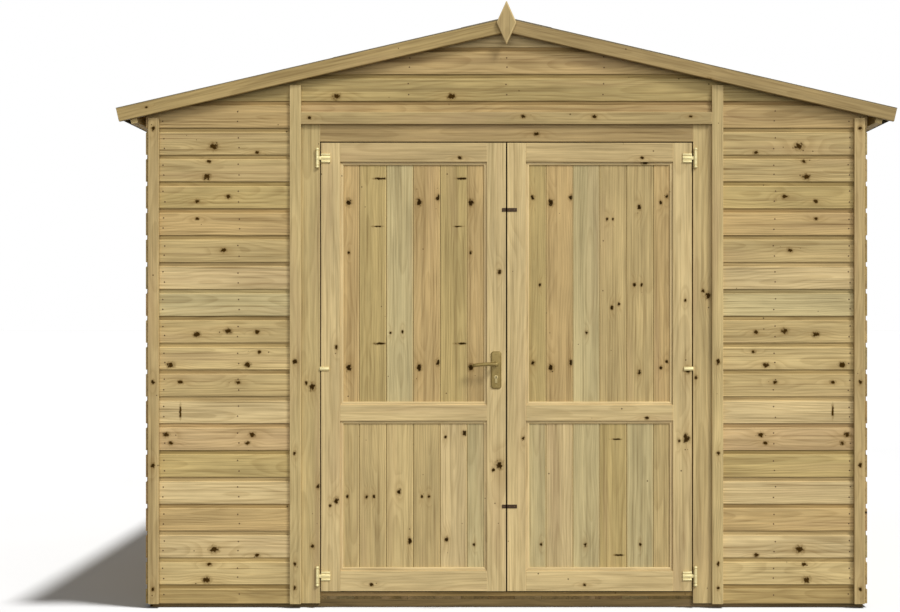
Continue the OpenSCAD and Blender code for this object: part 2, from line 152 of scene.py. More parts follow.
def select_only(*pieces):
    if bpy.context.mode != "OBJECT":
        bpy.ops.object.mode_set(mode="OBJECT")
    bpy.ops.object.select_all(action="DESELECT")
    for piece in pieces:
        piece.select_set(True)
    bpy.context.view_layer.objects.active = pieces[0]


def named(piece, name):
    piece.name = name
    piece.data.name = name
    piece.data.materials.clear()
    return piece


def settle(piece):
    """Puts the piece's place into its mesh."""
    select_only(piece)
    bpy.ops.object.transform_apply(location=True, rotation=True, scale=True)
    return piece


def block(name, low, high):
    """A timber between two corners."""
    low, high = Vector(low), Vector(high)
    bpy.ops.object.select_all(action="DESELECT")
    bpy.ops.mesh.primitive_cube_add(size=1, location=(low + high) / 2, scale=high - low)
    return settle(named(bpy.context.active_object, name))


def edit(piece):
    select_only(piece)
    bpy.ops.object.mode_set(mode="EDIT")


def leave_edit():
    bpy.ops.object.mode_set(mode="OBJECT")


def pick(piece, kind, test):
    """Selects the vertices, edges or faces that pass the test, in edit mode."""
    bpy.ops.mesh.select_mode(type=kind)
    bpy.ops.mesh.select_all(action="DESELECT")
    mesh = bmesh.from_edit_mesh(piece.data)
    items = {"VERT": mesh.verts, "EDGE": mesh.edges, "FACE": mesh.faces}[kind]
    for item in items:
        if test(item):
            item.select_set(True)
    mesh.select_flush_mode()
    bmesh.update_edit_mesh(piece.data)


def edge_middle(edge):
    return (edge.verts[0].co + edge.verts[1].co) / 2


def edge_way(edge):
    return (edge.verts[1].co - edge.verts[0].co).normalized()


def modify(piece, kind, **values):
    """Adds one modifier and applies it."""
    select_only(piece)
    modifier = piece.modifiers.new(kind.title(), kind)
    for key, value in values.items():
        setattr(modifier, key, value)
    bpy.ops.object.modifier_apply(modifier=modifier.name)
    return piece


def ease(piece, width, segments=2):
    """Rounds the sharp edges of a piece."""
    return modify(
        piece, "BEVEL", width=width, segments=segments, limit_method="ANGLE",
        angle_limit=math.radians(32), use_clamp_overlap=True,
    )


def repeat(piece, count, step):
    if count > 1:
        modify(
            piece, "ARRAY", count=count, use_relative_offset=False, use_constant_offset=True,
            constant_offset_displace=step,
        )
    return piece


def saw(piece, point, outward):
    """Cuts off what lies beyond a plane and closes the cut."""
    edit(piece)
    bpy.ops.mesh.select_all(action="SELECT")
    bpy.ops.mesh.bisect(plane_co=point, plane_no=outward, use_fill=True, clear_outer=True)
    leave_edit()
    return piece


def copy_of(piece, name, offset=(0, 0, 0)):
    other = piece.copy()
    other.data = piece.data.copy()
    bpy.context.scene.collection.objects.link(other)
    other.name = other.data.name = name
    other.location = offset
    return other


def join(name, pieces):
    select_only(*pieces)
    if len(pieces) > 1:
        bpy.ops.object.join()
    piece = bpy.context.active_object
    piece.name = piece.data.name = name
    return settle(piece)


def from_frame(node, name, arris=0.0):
    """A copy of a frame piece with its loose triangles merged, ready for its own edges and finish."""
    piece = copy_of(frame["nodes"][node], name)
    piece.parent = None
    piece.hide_render = piece.hide_viewport = False
    named(piece, name)
    edit(piece)
    bpy.ops.mesh.select_all(action="SELECT")
    bpy.ops.mesh.remove_doubles(threshold=0.00002)
    bpy.ops.mesh.dissolve_limited(angle_limit=math.radians(0.6))
    leave_edit()
    if arris:
        ease(piece, arris)
    return piece


def turned(name, centre, rings, sides=28, smooth=True):
    """A turned shape: a disc, extruded upwards ring by ring. rings holds (height, radius) pairs."""
    height, radius = rings[0]
    middle = Vector(centre) + Vector((0, 0, height))
    bpy.ops.object.select_all(action="DESELECT")
    bpy.ops.mesh.primitive_circle_add(vertices=sides, radius=radius, fill_type="NGON", location=middle)
    piece = settle(named(bpy.context.active_object, name))
    edit(piece)
    bpy.ops.mesh.select_all(action="SELECT")
    for next_height, next_radius in rings[1:]:
        rise = next_height - height
        bpy.ops.mesh.extrude_region_move(TRANSFORM_OT_translate={"value": (0, 0, rise)})
        middle = Vector(centre) + Vector((0, 0, next_height))
        share = next_radius / radius
        bpy.ops.transform.resize(value=(share, share, 1), center_override=middle)
        height, radius = next_height, next_radius
    leave_edit()
    turn_out(piece)
    if smooth:
        soften(piece)
    return piece


def turn_out(piece):
    """Makes the piece's faces point outwards."""
    edit(piece)
    bpy.ops.mesh.select_all(action="SELECT")
    bpy.ops.mesh.normals_make_consistent(inside=False)
    leave_edit()


def soften(piece, angle=38):
    """Shades the piece smoothly across all but its sharper edges."""
    select_only(piece)
    bpy.ops.object.shade_smooth_by_angle(angle=math.radians(angle))
    return piece


def coat(piece, finish):
    """Gives the piece this finish alone."""
    piece.data.materials.clear()
    piece.data.materials.append(finish)


def aim(piece, centre, axis):
    """Turns a piece drawn upwards about the origin so that it points along the axis from centre."""
    piece.rotation_euler = Vector(axis).to_track_quat("Z", "Y").to_euler()
    piece.location = centre
    return settle(piece)


# Finishes --------------------------------------------------------------------------------


class Recipe:
    """Adds nodes to a material, with short words for what is used most."""

    def __init__(self, name):
        self.material = bpy.data.materials.new(name)
        self.material.use_nodes = True
        self.tree = self.material.node_tree
        self.shader = self.tree.nodes["Principled BSDF"]

    def put(self, socket, value):
        if isinstance(value, bpy.types.NodeSocket):
            self.tree.links.new(value, socket)
        else:
            socket.default_value = value

    def node(self, kind, inputs=(), **values):
        node = self.tree.nodes.new(kind)
        for key, value in values.items():
            setattr(node, key, value)
        for key, value in dict(inputs).items():
            self.put(node.inputs[key], value)
        return node

    def math(self, operation, a, b=0.0, c=0.0, clamp=False):
        node = self.node("ShaderNodeMath", {0: a, 1: b, 2: c}, operation=operation, use_clamp=clamp)
        return node.outputs[0]

    def distance(self, a, b):
        """Length of a line that goes a one way and b the other."""
        squares = self.math("ADD", self.math("MULTIPLY", a, a), self.math("MULTIPLY", b, b))
        return self.math("SQRT", squares)

    def vector(self, operation, a, b):
        return self.node("ShaderNodeVectorMath", {0: a, 1: b}, operation=operation).outputs[0]

    def noise(self, place, size, detail=2.0, roughness=0.5, output="Fac"):
        """Noise over a stretched place: size is how often it changes per metre along, into and across."""
        stretched = self.vector("MULTIPLY", place, size)
        inputs = {"Vector": stretched, "Scale": 1.0, "Detail": detail, "Roughness": roughness}
        return self.node("ShaderNodeTexNoise", inputs).outputs[output]

    def ramp(self, value, low, high, start=0.0, end=1.0, smooth=True):
        kind = "SMOOTHSTEP" if smooth else "LINEAR"
        inputs = {"Value": value, "From Min": low, "From Max": high, "To Min": start, "To Max": end}
        return self.node("ShaderNodeMapRange", inputs, interpolation_type=kind).outputs["Result"]

    def mix(self, share, a, b, blend="MIX"):
        node = self.node("ShaderNodeMix", data_type="RGBA", blend_type=blend)
        self.put(node.inputs[0], share)
        self.put(node.inputs[6], a)
        self.put(node.inputs[7], b)
        return node.outputs[2]

    def split(self, vector):
        """The three parts of a vector or colour."""
        outputs = self.node("ShaderNodeSeparateXYZ", {"Vector": vector}).outputs
        return outputs["X"], outputs["Y"], outputs["Z"]

    def cells(self, along, across, lengthwise, crosswise):
        """Cells over the board's face.

        The results are the distances to the middle of the cell, along and across, and three chance values.
        """
        face = self.node("ShaderNodeCombineXYZ", {"X": self.math("MULTIPLY", along, lengthwise),
                                                  "Y": self.math("MULTIPLY", across, crosswise)}).outputs[0]
        cells = self.node("ShaderNodeTexVoronoi", {"Vector": face, "Scale": 1.0, "Randomness": 0.9},
                          voronoi_dimensions="2D", feature="F1")
        heart = self.split(cells.outputs["Position"])
        to_heart = self.math("SUBTRACT", along, self.math("DIVIDE", heart[0], lengthwise))
        over_heart = self.math("SUBTRACT", across, self.math("DIVIDE", heart[1], crosswise))
        return to_heart, over_heart, self.split(cells.outputs["Color"])

    def knot_reach(self, to_knot, over_knot, radius):
        """Distance from a knot in knot radii, and the same drawn out along the grain.

        A radius of 0 is no knot. A negative radius is a check: a narrow dark mark across the grain.
        """
        check = self.math("LESS_THAN", radius, 0.0)
        size = self.math("MAXIMUM", self.math("ABSOLUTE", radius), 0.00002)
        long_way = self.math("MULTIPLY", to_knot, self.math("MULTIPLY_ADD", check, 4.5, 0.78))
        swirl_way = self.math("MULTIPLY", to_knot, 0.3)
        reach = self.math("DIVIDE", self.distance(long_way, over_knot), size)
        swirl = self.math("DIVIDE", self.distance(swirl_way, over_knot), size)
        return reach, self.math("MULTIPLY_ADD", check, 9.0, swirl)

    def attribute(self, name, output):
        return self.node("ShaderNodeAttribute", attribute_name=name).outputs[output]

    def finish(self, base, roughness, height=None, bump=0.0004, **sockets):
        self.put(self.shader.inputs["Base Color"], base)
        self.put(self.shader.inputs["Roughness"], roughness)
        if height is not None:
            inputs = {"Height": height, "Strength": 1.0, "Distance": bump}
            self.put(self.shader.inputs["Normal"], self.node("ShaderNodeBump", inputs).outputs["Normal"])
        for key, value in sockets.items():
            self.put(self.shader.inputs[key.replace("_", " ")], value)
        return self.material


def rgba(values, gain=1.0):
    return tuple(min(1.0, value * gain) for value in values) + (1.0,)


SLOPE = math.radians(13.0)
UP = Vector((0, 0, 1))
RIGHT = Vector((1, 0, 0))
BACK = Vector((0, 1, 0))
DOWN_RIGHT = Vector((math.cos(SLOPE), 0, -math.sin(SLOPE)))
DOWN_LEFT = Vector((-math.cos(SLOPE), 0, -math.sin(SLOPE)))
ABOVE_RIGHT = Vector((math.sin(SLOPE), 0, math.cos(SLOPE)))
ABOVE_LEFT = Vector((-math.sin(SLOPE), 0, math.cos(SLOPE)))

# The way the grain runs, and the way across the face that shows
GRAINS = {
    "along_front": (RIGHT, UP),
    "along_side": (BACK, UP),
    "upright": (UP, RIGHT),
    "upright_side": (UP, BACK),
    "along_floor": (BACK, RIGHT),
    "down_right": (DOWN_RIGHT, BACK),
    "down_left": (DOWN_LEFT, BACK),
    "barge_right": (DOWN_RIGHT, ABOVE_RIGHT),
    "barge_left": (DOWN_LEFT, ABOVE_LEFT),
}


def log_axes(grain):
    """Rows: along the grain, into the board, and across its face."""
    along, across = GRAINS[grain]
    return Matrix((along, across.cross(along), across))


TIMBERS = {
    # finish: colour, share of places with a knot, strength of the grain, roughness, tone of the knots
    "cladding": ("cladding", 0.5, 0.88, 0.62, 1.0),
    "joinery": ("joinery", 0.2, 0.66, 0.58, 0.7),
    "panel": ("cladding", 0.4, 0.72, 0.6, 0.5),
    "framing": ("framing", 0.34, 1.0, 0.72, 1.0),
    "base": ("base", 0.2, 0.9, 0.75, 0.7),
}
KNOT_MARKS = 4  # how many chosen knots one board can have
RING_WIDTH = 0.0085


def large_knots(r, place, here, share):
    """Knots: one by chance in some cells of the board's face, and those that the board's marks name."""
    along, _, across = r.split(place)
    along_here, _, across_here = r.split(here)
    to_knot, over_knot, chance = r.cells(along, across, 3.6, 9.5)
    few = r.math("MULTIPLY", r.attribute("knots_by_chance", "Fac"), share)
    radius = r.math("MULTIPLY_ADD", r.math("POWER", chance[1], 2.0), 0.0085, 0.0035)
    radius = r.math("MULTIPLY", radius, r.math("LESS_THAN", chance[0], few))
    reach, swirl = r.knot_reach(to_knot, over_knot, radius)
    for mark in range(KNOT_MARKS):
        spot_along, spot_across, spot_radius = r.split(r.attribute(f"knot_{mark}", "Vector"))
        to_spot = r.math("SUBTRACT", along_here, spot_along)
        over_spot = r.math("SUBTRACT", across_here, spot_across)
        spot_reach, spot_swirl = r.knot_reach(to_spot, over_spot, spot_radius)
        reach = r.math("MINIMUM", reach, spot_reach)
        swirl = r.math("MINIMUM", swirl, spot_swirl)
    ragged = r.noise(place, (95.0, 95.0, 95.0), 2.0, 0.6)
    reach = r.math("MULTIPLY_ADD", r.math("SUBTRACT", ragged, 0.5), 2.2, reach)
    return reach, swirl


def pin_knots(r, place, swirl):
    """Small dark pin knots, thickest round the large knots."""
    along, _, across = r.split(place)
    to_pin, over_pin, chance = r.cells(along, across, 24.0, 46.0)
    share = r.math("MULTIPLY_ADD", r.ramp(swirl, 1.0, 2.6, 1.0, 0.0), 0.16, 0.012)
    size = r.math("MULTIPLY_ADD", chance[1], 0.0016, 0.0012)
    pin = r.ramp(r.math("DIVIDE", r.distance(to_pin, over_pin), size), 0.8, 1.5, 1.0, 0.0)
    return r.math("MULTIPLY", pin, r.math("LESS_THAN", chance[0], share))


def dark_rings(r, place, eye):
    """The log's rings, pushed out by its knots. It sways a little, so they open into arches on the board."""
    _, into, across = r.split(place)
    sway_a, sway_b, _ = r.split(r.noise(place, (1.3, 4.0, 4.0), 2.0, output="Color"))
    into_log = r.math("ADD", r.math("MULTIPLY_ADD", sway_a, 0.09, into), -0.045)
    across_log = r.math("ADD", r.math("MULTIPLY_ADD", sway_b, 0.07, across), -0.035)
    rings = r.math("MULTIPLY_ADD", eye, 0.011, r.distance(into_log, across_log))
    rings = r.math("FRACT", r.math("DIVIDE", rings, RING_WIDTH))
    return r.math("MULTIPLY", r.ramp(rings, 0.25, 0.88), r.ramp(rings, 0.88, 1.0, 1.0, 0.0))


def timber(finish, grain):
    """Softwood with rings, fibres and knots. It reads the marks that grain_boards leaves on each board."""
    name = f"{finish}_{grain}"
    if name in bpy.data.materials:
        return bpy.data.materials[name]
    colours = bpy.context.scene.shed_finishes
    base_name, knot_share, strength, roughness, knot_tone = TIMBERS[finish]
    base = getattr(colours, base_name)
    r = Recipe(name)
    here = r.node("ShaderNodeTexCoord").outputs["Object"]
    turn = log_axes(grain).to_euler()
    here = r.node("ShaderNodeMapping", {"Vector": here, "Rotation": turn}).outputs["Vector"]
    place = r.vector("ADD", here, r.attribute("log_place", "Vector"))

    reach, swirl = large_knots(r, place, here, knot_share)
    core = r.ramp(reach, 0.7, 1.15, 1.0, 0.0)
    rim = r.ramp(reach, 0.9, 2.1, 1.0, 0.0)
    eye = r.ramp(swirl, 0.6, 3.6, 1.0, 0.0)
    pins = pin_knots(r, place, swirl)
    late = dark_rings(r, place, eye)
    fibre = r.noise(place, (9.0, 420.0, 420.0), 2.0, 0.6)
    line = r.noise(place, (2.4, 150.0, 150.0), 3.0, 0.62)
    streak = r.noise(place, (1.1, 44.0, 44.0), 2.0)
    cloud = r.noise(place, (2.6, 10.0, 10.0), 3.0, 0.6)

    # The grain darkens the wood, and each board has its own tone
    dark = r.math("MULTIPLY", r.ramp(line, 0.5, 0.76), 0.5 * strength)
    dark = r.math("MULTIPLY_ADD", r.ramp(streak, 0.5, 0.78), 0.34 * strength, dark)
    dark = r.math("MULTIPLY_ADD", late, 0.26 * strength, dark, clamp=True)
    latewood = rgba(base, 0.45) if finish == "base" else rgba(colours.latewood)
    wood = r.mix(dark, rgba(base, 1.16), latewood)
    wood = r.mix(1.0, wood, r.attribute("tone", "Color"), "MULTIPLY")
    light = r.math("MULTIPLY_ADD", line, -0.7 * strength, 1.0 + 0.35 * strength)
    light_streak = r.math("MULTIPLY_ADD", streak, -0.6 * strength, 1.0 + 0.3 * strength)
    light = r.math("MULTIPLY", light, light_streak)
    light = r.math("MULTIPLY", light, r.math("MULTIPLY_ADD", cloud, 0.7, 0.65))
    light = r.math("MULTIPLY", light, r.math("MULTIPLY_ADD", fibre, 0.4, 0.8))
    shade = r.node("ShaderNodeCombineColor", {0: light, 1: light, 2: light}).outputs[0]
    wood = r.mix(1.0, wood, shade, "MULTIPLY")

    # Then come the reddish patches, the knots, the edges paled by wear with a painted highlight on the wall
    # boards' top arrises, and painted shade in the wall boards' coves and on their ends
    blush = r.noise(place, (1.1, 7.0, 14.0), 1.0)
    wood = r.mix(r.ramp(blush, 0.55, 0.8, 0.0, 0.3), wood, (0.47, 0.31, 0.16, 1.0))
    wood = r.mix(r.math("MULTIPLY", eye, 0.22), wood, (0.33, 0.2, 0.065, 1.0))
    wood = r.mix(r.math("MULTIPLY", rim, 0.55), wood, (0.17, 0.095, 0.02, 1.0))
    depth_of_knot = r.math("MULTIPLY_ADD", r.math("SINE", r.math("MULTIPLY", reach, 9.0)), 0.02, 0.98)
    wood = r.mix(r.math("MULTIPLY", core, depth_of_knot), wood, rgba(colours.knot, knot_tone))
    wood = r.mix(r.math("MULTIPLY", pins, 0.85), wood, rgba(colours.knot, 1.2))
    # Paler eased edges: wear, and on the wall boards' top arrises a painted highlight
    wood = r.mix(r.math("MULTIPLY", r.attribute("worn", "Fac"), 0.45), wood, rgba(base, 1.5))
    # Painted shade: the coves and the ends of the wall boards are darkened
    hollow_shading = r.mix(r.attribute("dusty", "Fac"), (1.0, 1.0, 1.0, 1.0), (0.69, 0.65, 0.57, 1.0))
    wood = r.mix(1.0, wood, hollow_shading, "MULTIPLY")

    rough = r.math("MULTIPLY_ADD", fibre, 0.2, roughness - 0.1)
    height = r.math("MULTIPLY_ADD", late, 0.3, r.math("MULTIPLY", fibre, 0.55))
    height = r.math("MULTIPLY_ADD", line, -0.5, height)
    height = r.math("MULTIPLY_ADD", core, 0.5, height)
    sheen = r.math("MULTIPLY_ADD", core, -0.12, 0.13)
    return r.finish(wood, rough, height, 0.0006, Specular_IOR_Level=sheen)


def metal(name, base, roughness, spot, spot_share, metallic=1.0, wear=None):
    """Plated or aged metal: fine scratches, spots of tarnish and brighter worn places."""
    if name in bpy.data.materials:
        return bpy.data.materials[name]
    r = Recipe(name)
    place = r.node("ShaderNodeTexCoord").outputs["Object"]
    tarnish = r.noise(place, (90.0, 90.0, 90.0), 4.0, 0.62)
    scratch = r.noise(place, (900.0, 900.0, 60.0), 2.0)
    cloud = r.noise(place, (32.0, 32.0, 32.0), 2.0)
    tint = r.mix(r.ramp(tarnish, 1.0 - spot_share, 1.06 - spot_share * 0.5), rgba(base), rgba(spot))
    tint = r.mix(r.ramp(cloud, 0.4, 0.75, 0.0, 0.5), tint, rgba(wear or base, 1.12))
    rough = r.math("MULTIPLY_ADD", tarnish, 0.3, roughness - 0.12)
    height = r.math("MULTIPLY_ADD", scratch, 0.4, tarnish)
    return r.finish(tint, rough, height, 0.00012, Metallic=metallic)


def hinge_brass():
    base = bpy.context.scene.shed_finishes.pale_brass
    return metal("plated_brass", base, 0.4, (0.3, 0.23, 0.09), 0.34, 0.3)


def handle_brass():
    base = bpy.context.scene.shed_finishes.aged_brass
    return metal("aged_brass", base, 0.42, (0.07, 0.048, 0.015), 0.42, 0.45, (0.26, 0.19, 0.06))


def lock_brass():
    return metal("lock_brass", (0.42, 0.33, 0.14), 0.4, (0.12, 0.085, 0.03), 0.4, 0.4)


def dark_iron():
    return metal("dark_iron", bpy.context.scene.shed_finishes.iron, 0.55, (0.09, 0.04, 0.01), 0.4, 0.6)


def nail_steel():
    return metal("nail_steel", bpy.context.scene.shed_finishes.steel, 0.5, (0.1, 0.05, 0.02), 0.45, 0.7)


# Near black: painted shade for the key slots
def key_slot_black():
    return metal("key_slot_black", (0.01, 0.008, 0.006), 0.6, (0.03, 0.02, 0.01), 0.3, 0.4)


def mineral_felt(name="mineral_felt"):
    """Bitumen felt with a dressing of crushed stone. Its cut edge is browner and dusty."""
    if name in bpy.data.materials:
        return bpy.data.materials[name]
    finishes = bpy.context.scene.shed_finishes
    base = finishes.felt if name == "mineral_felt" else finishes.felt_edge
    r = Recipe(name)
    place = r.node("ShaderNodeTexCoord").outputs["Object"]
    stones = r.node("ShaderNodeTexVoronoi", {"Vector": place, "Scale": 620.0}, feature="F1")
    stone = r.node("ShaderNodeSeparateColor", {0: stones.outputs["Color"]}).outputs[0]
    grit = r.noise(place, (260.0, 260.0, 260.0), 3.0, 0.6)
    cloud = r.noise(place, (1.6, 1.6, 1.6), 3.0)
    wash = r.noise(place, (9.0, 2.2, 9.0), 3.0)
    tint = r.mix(r.ramp(stone, 0.3, 1.0, 0.0, 0.85), rgba(base, 0.7), rgba(base, 2.1))
    tint = r.mix(r.ramp(stone, 0.9, 0.97, 0.0, 0.6), tint, (0.28, 0.29, 0.26, 1.0))
    tint = r.mix(r.ramp(cloud, 0.35, 0.75, 0.0, 0.45), tint, rgba(base))
    tint = r.mix(r.ramp(wash, 0.55, 0.85, 0.0, 0.3), tint, rgba(base, 0.4))
    height = r.math("MULTIPLY_ADD", stones.outputs["Distance"], -1.0, grit)
    rough = r.ramp(grit, 0.2, 0.8, 0.8, 0.97, smooth=False)
    return r.finish(tint, rough, height, 0.0009, Specular_IOR_Level=0.3)


# Boards ----------------------------------------------------------------------------------


def boards_of(mesh):
    """The separate boards of a mesh, each a list of vertex numbers."""
    parent = list(range(len(mesh.vertices)))

    def root(number):
        while parent[number] != number:
            parent[number] = parent[parent[number]]
            number = parent[number]
        return number

    for edge in mesh.edges:
        a, b = (root(number) for number in edge.vertices)
        if a != b:
            parent[b] = a
    groups = {}
    for number in range(len(mesh.vertices)):
        groups.setdefault(root(number), []).append(number)
    return [groups[key] for key in sorted(groups)]


def box_of(mesh, board):
    """The lowest and the highest corner of a board."""
    places = [mesh.vertices[number].co for number in board]
    low = Vector([min(place[i] for place in places) for i in range(3)])
    high = Vector([max(place[i] for place in places) for i in range(3)])
    return low, high


def timbers_of_node(node):
    """The lowest and highest corners of a frame node's separate timbers."""
    piece = from_frame(node, "measured")
    found = [box_of(piece.data, board) for board in boards_of(piece.data)]
    bpy.data.objects.remove(piece)
    return found


def split_out(piece, name, test):
    """Moves the timbers whose middle and size pass the test into a piece of their own."""
    chosen = set()
    for board in boards_of(piece.data):
        low, high = box_of(piece.data, board)
        if test((low + high) / 2, high - low):
            chosen.update(board)
    edit(piece)
    pick(piece, "VERT", lambda vert: vert.index in chosen)
    bpy.ops.mesh.separate(type="SELECTED")
    leave_edit()
    other = next(obj for obj in bpy.context.selected_objects if obj is not piece)
    other.name = other.data.name = name
    return other


def lies_level(middle, size):
    """Whether a timber of the front runs along it rather than upright."""
    return size.x > size.z


def is_on_left(middle, size):
    """Whether a timber belongs to the left slope."""
    return middle.x < 0


# Tones of single boards
PALE = (1.09, 1.1, 1.24)
TAN = (1.03, 1.03, 1.07)
PLAIN = (0.92, 0.91, 0.93)
OLIVE = (0.87, 0.86, 0.8)
GREEN = (0.93, 1.0, 1.13)
BLUSH = (1.0, 0.94, 1.04)
PINK = (0.91, 0.85, 0.84)
ROSE = (0.98, 0.91, 0.9)
DARK = (0.74, 0.7, 0.64)
TONES = [PALE, TAN, PLAIN, OLIVE, GREEN, BLUSH, PINK, TAN, PALE, PLAIN]
# The heads of the door surround and the door stops are darker: painted shade under the head trim
HEAD_PAINTED_SHADE = (0.68, 0.63, 0.57)
THRESHOLD_TONE = (2.1, 2.05, 2.05)
FINIAL_TONE = (0.74, 0.72, 0.66)

KNOT_MARGIN = 0.006  # a knot this far outside a board still shows on it


def knots_on(low, high, knots):
    """The largest of the chosen knots that show on a board, in metres."""
    found = []
    for x, z, radius in knots:
        beside = low.x - KNOT_MARGIN < x / 1000 < high.x + KNOT_MARGIN
        if beside and low.z - KNOT_MARGIN < z / 1000 < high.z + KNOT_MARGIN:
            found.append((x / 1000, z / 1000, radius / 1000))
    found.sort(key=lambda knot: -abs(knot[2]))
    return found[:KNOT_MARKS]


def grain_boards(piece, finish, grain, seed, tones=None, knots=()):
    """Gives each board of the piece its own place in the log, tone and knots, then its finish.

    tones is one tone for all boards, or is called with each board's middle. Without it they are by chance.
    knots holds chosen knots as (x, z, radius), in millimetres. A piece with none has them by chance.
    """
    draw = random.Random(seed)
    mesh = piece.data
    axes = log_axes(grain)
    marks = [f"knot_{mark}" for mark in range(KNOT_MARKS)]
    for name in ["log_place"] + marks:
        mesh.attributes.new(name, "FLOAT_VECTOR", "POINT")
    mesh.attributes.new("tone", "FLOAT_COLOR", "POINT")
    mesh.attributes.new("knots_by_chance", "FLOAT", "POINT")
    for board in boards_of(mesh):
        low, high = box_of(mesh, board)
        middle = axes @ ((low + high) / 2)
        depth = draw.choice((-1, 1)) * draw.uniform(0.015, 0.07)
        shift = (draw.uniform(-9, 9), depth - middle.y, draw.uniform(-0.03, 0.03) - middle.z)
        tint = tones((low + high) / 2) if callable(tones) else tones
        if tint is None:
            tint = draw.choice(TONES)
            lift = draw.uniform(0.94, 1.04)
            tint = tuple(value * lift for value in tint)
        chosen = []
        for x, z, radius in knots_on(low, high, knots):
            spot = axes @ Vector((x, low.y, z))
            chosen.append((spot.x, spot.z, radius))
        mark_board(mesh, board, shift, tint, chosen, 0.0 if knots else 1.0)
    coat(piece, timber(finish, grain))
    return piece


def mark_board(mesh, board, shift, tint, chosen, chance):
    """Writes a board's place in the log, tone and knots at each of its vertices."""
    values = mesh.attributes
    for number in board:
        values["log_place"].data[number].vector = shift
        values["tone"].data[number].color = (*tint, 1.0)
        values["knots_by_chance"].data[number].value = chance
    for mark, spot in enumerate(chosen):
        data = values[f"knot_{mark}"].data
        for number in board:
            data[number].vector = spot


def mark_faces(piece, name, test):
    """Gives the faces that pass the test a mark, which the finish reads."""
    marks = piece.data.attributes.new(name, "FLOAT", "FACE")
    for face in piece.data.polygons:
        marks.data[face.index].value = 1.0 if test(face) else 0.0
    return piece


def pale_edges_wear_and_highlight(piece, test):
    """Marks faces to be painted paler: eased edges, which handling and weather make paler, and on the wall
    boards a painted highlight along each top arris.
    """
    return mark_faces(piece, "worn", test)


def is_arris(face):
    """Whether a face is part of an eased edge, as it looks along none of the main ways."""
    return max(abs(value) for value in face.normal) < 0.985


def place_piece(piece, body, slot, *nodes):
    """Says which body the piece moves with and hides the CAD nodes that it stands in for. The slot is not
    used.
    """
    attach(piece, body)
    if nodes:
        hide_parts(*nodes)
    return piece


def plain_timber(node, name, body, finish, grain, seed, arris=None, tones=None, knots=()):
    """A frame timber with eased edges and its own grain."""
    arris = bpy.context.scene.shed_boards.arris if arris is None else arris
    piece = from_frame(node, name, arris)
    pale_edges_wear_and_highlight(piece, is_arris)
    grain_boards(piece, finish, grain, seed, tones, knots)
    slot = "treated_base" if finish == "base" else finish
    return place_piece(piece, body, slot, node)


# Steps of the cove along a wall board: the share of its height, and how deep it has gone by then
COVE_STEPS = ((0.04, 0.55), (0.06, 0.82), (0.12, 0.95), (0.78, 1.0))


def shiplap(name, x0, x1, front, back, top):
    """Shiplap boards facing -Y, one above the other: each a block whose top is drawn up into a cove."""
    sizes = bpy.context.scene.shed_boards
    thick = back - front
    flat = sizes.shiplap_pitch - sizes.cove_height
    start = sizes.shiplap_start - sizes.shiplap_pitch
    piece = block(name, (x0, front, start), (x1, back, start + flat))
    edit(piece)
    pick(piece, "FACE", lambda face: face.normal.z > 0.9)
    left = thick
    for rise, depth in COVE_STEPS:
        lift = (0, 0, rise * sizes.cove_height)
        bpy.ops.mesh.extrude_region_move(TRANSFORM_OT_translate={"value": lift})
        thinner = thick - depth * sizes.cove_depth
        bpy.ops.transform.resize(value=(1, thinner / left, 1), center_override=(0, back, 0))
        left = thinner
    pick(
        piece, "EDGE",
        lambda edge: abs(edge_way(edge).x) > 0.9 and abs(edge_middle(edge).y - front) < 1e-5,
    )
    bpy.ops.mesh.bevel(offset=0.0022, segments=3, profile=0.5)
    leave_edit()
    count = int((top - start) / sizes.shiplap_pitch) + 1
    return repeat(piece, count, (0, 0, sizes.shiplap_pitch))


def paint_shiplap_light_and_shade(piece, front):
    """Paints a highlight on the top arris of each board, and painted shade in its cove and on its ends."""
    deep = front + 0.8 * bpy.context.scene.shed_boards.cove_depth

    def is_top_arris(face):
        return abs(face.normal.y) < 0.97 and face.normal.z > 0.2 and face.center.y < front + 0.0024

    def is_hollow(face):
        return abs(face.normal.x) > 0.9 or face.normal.y < -0.2 and face.center.y > deep

    pale_edges_wear_and_highlight(piece, is_top_arris)
    mark_faces(piece, "dusty", is_hollow)


def matchboards(name, x0, x1, y0, y1, z0, z1, joint_x):
    """Upright boards side by side, with a small V between them, from x0 to x1. One joint is at joint_x."""
    sizes = bpy.context.scene.shed_boards
    pitch = sizes.match_pitch
    first = joint_x - math.ceil((joint_x - x0) / pitch) * pitch
    gap = 0.0008
    piece = block(name, (first + gap, y0, z0), (first + pitch - gap, y1, z1))
    edit(piece)
    pick(piece, "EDGE", lambda edge: abs(edge_way(edge).z) > 0.9)
    bpy.ops.mesh.bevel(offset=sizes.match_groove, segments=2, profile=0.5)
    leave_edit()
    repeat(piece, math.ceil((x1 - first) / pitch), (pitch, 0, 0))
    saw(piece, (x0, 0, 0), (-1, 0, 0))
    saw(piece, (x1, 0, 0), (1, 0, 0))
    return pale_edges_wear_and_highlight(piece, lambda face: 0.2 < abs(face.normal.y) < 0.95)


def planks(name, x0, x1, y0, y1, z0, z1, groove=0.0015):
    """Planks side by side along Y, laid flat, from y0 to y1, each running from x0 to x1."""
    pitch = bpy.context.scene.shed_boards.plank_pitch
    gap = 0.0005
    piece = block(name, (x0, y0 + gap, z0), (x1, y0 + pitch - gap, z1))
    edit(piece)
    pick(piece, "EDGE", lambda edge: abs(edge_way(edge).x) > 0.9)
    bpy.ops.mesh.bevel(offset=groove, segments=2, profile=0.5)
    leave_edit()
    repeat(piece, math.ceil((y1 - y0) / pitch), (0, pitch, 0))
    saw(piece, (0, y1, 0), (0, 1, 0))
    return pale_edges_wear_and_highlight(piece, is_arris)


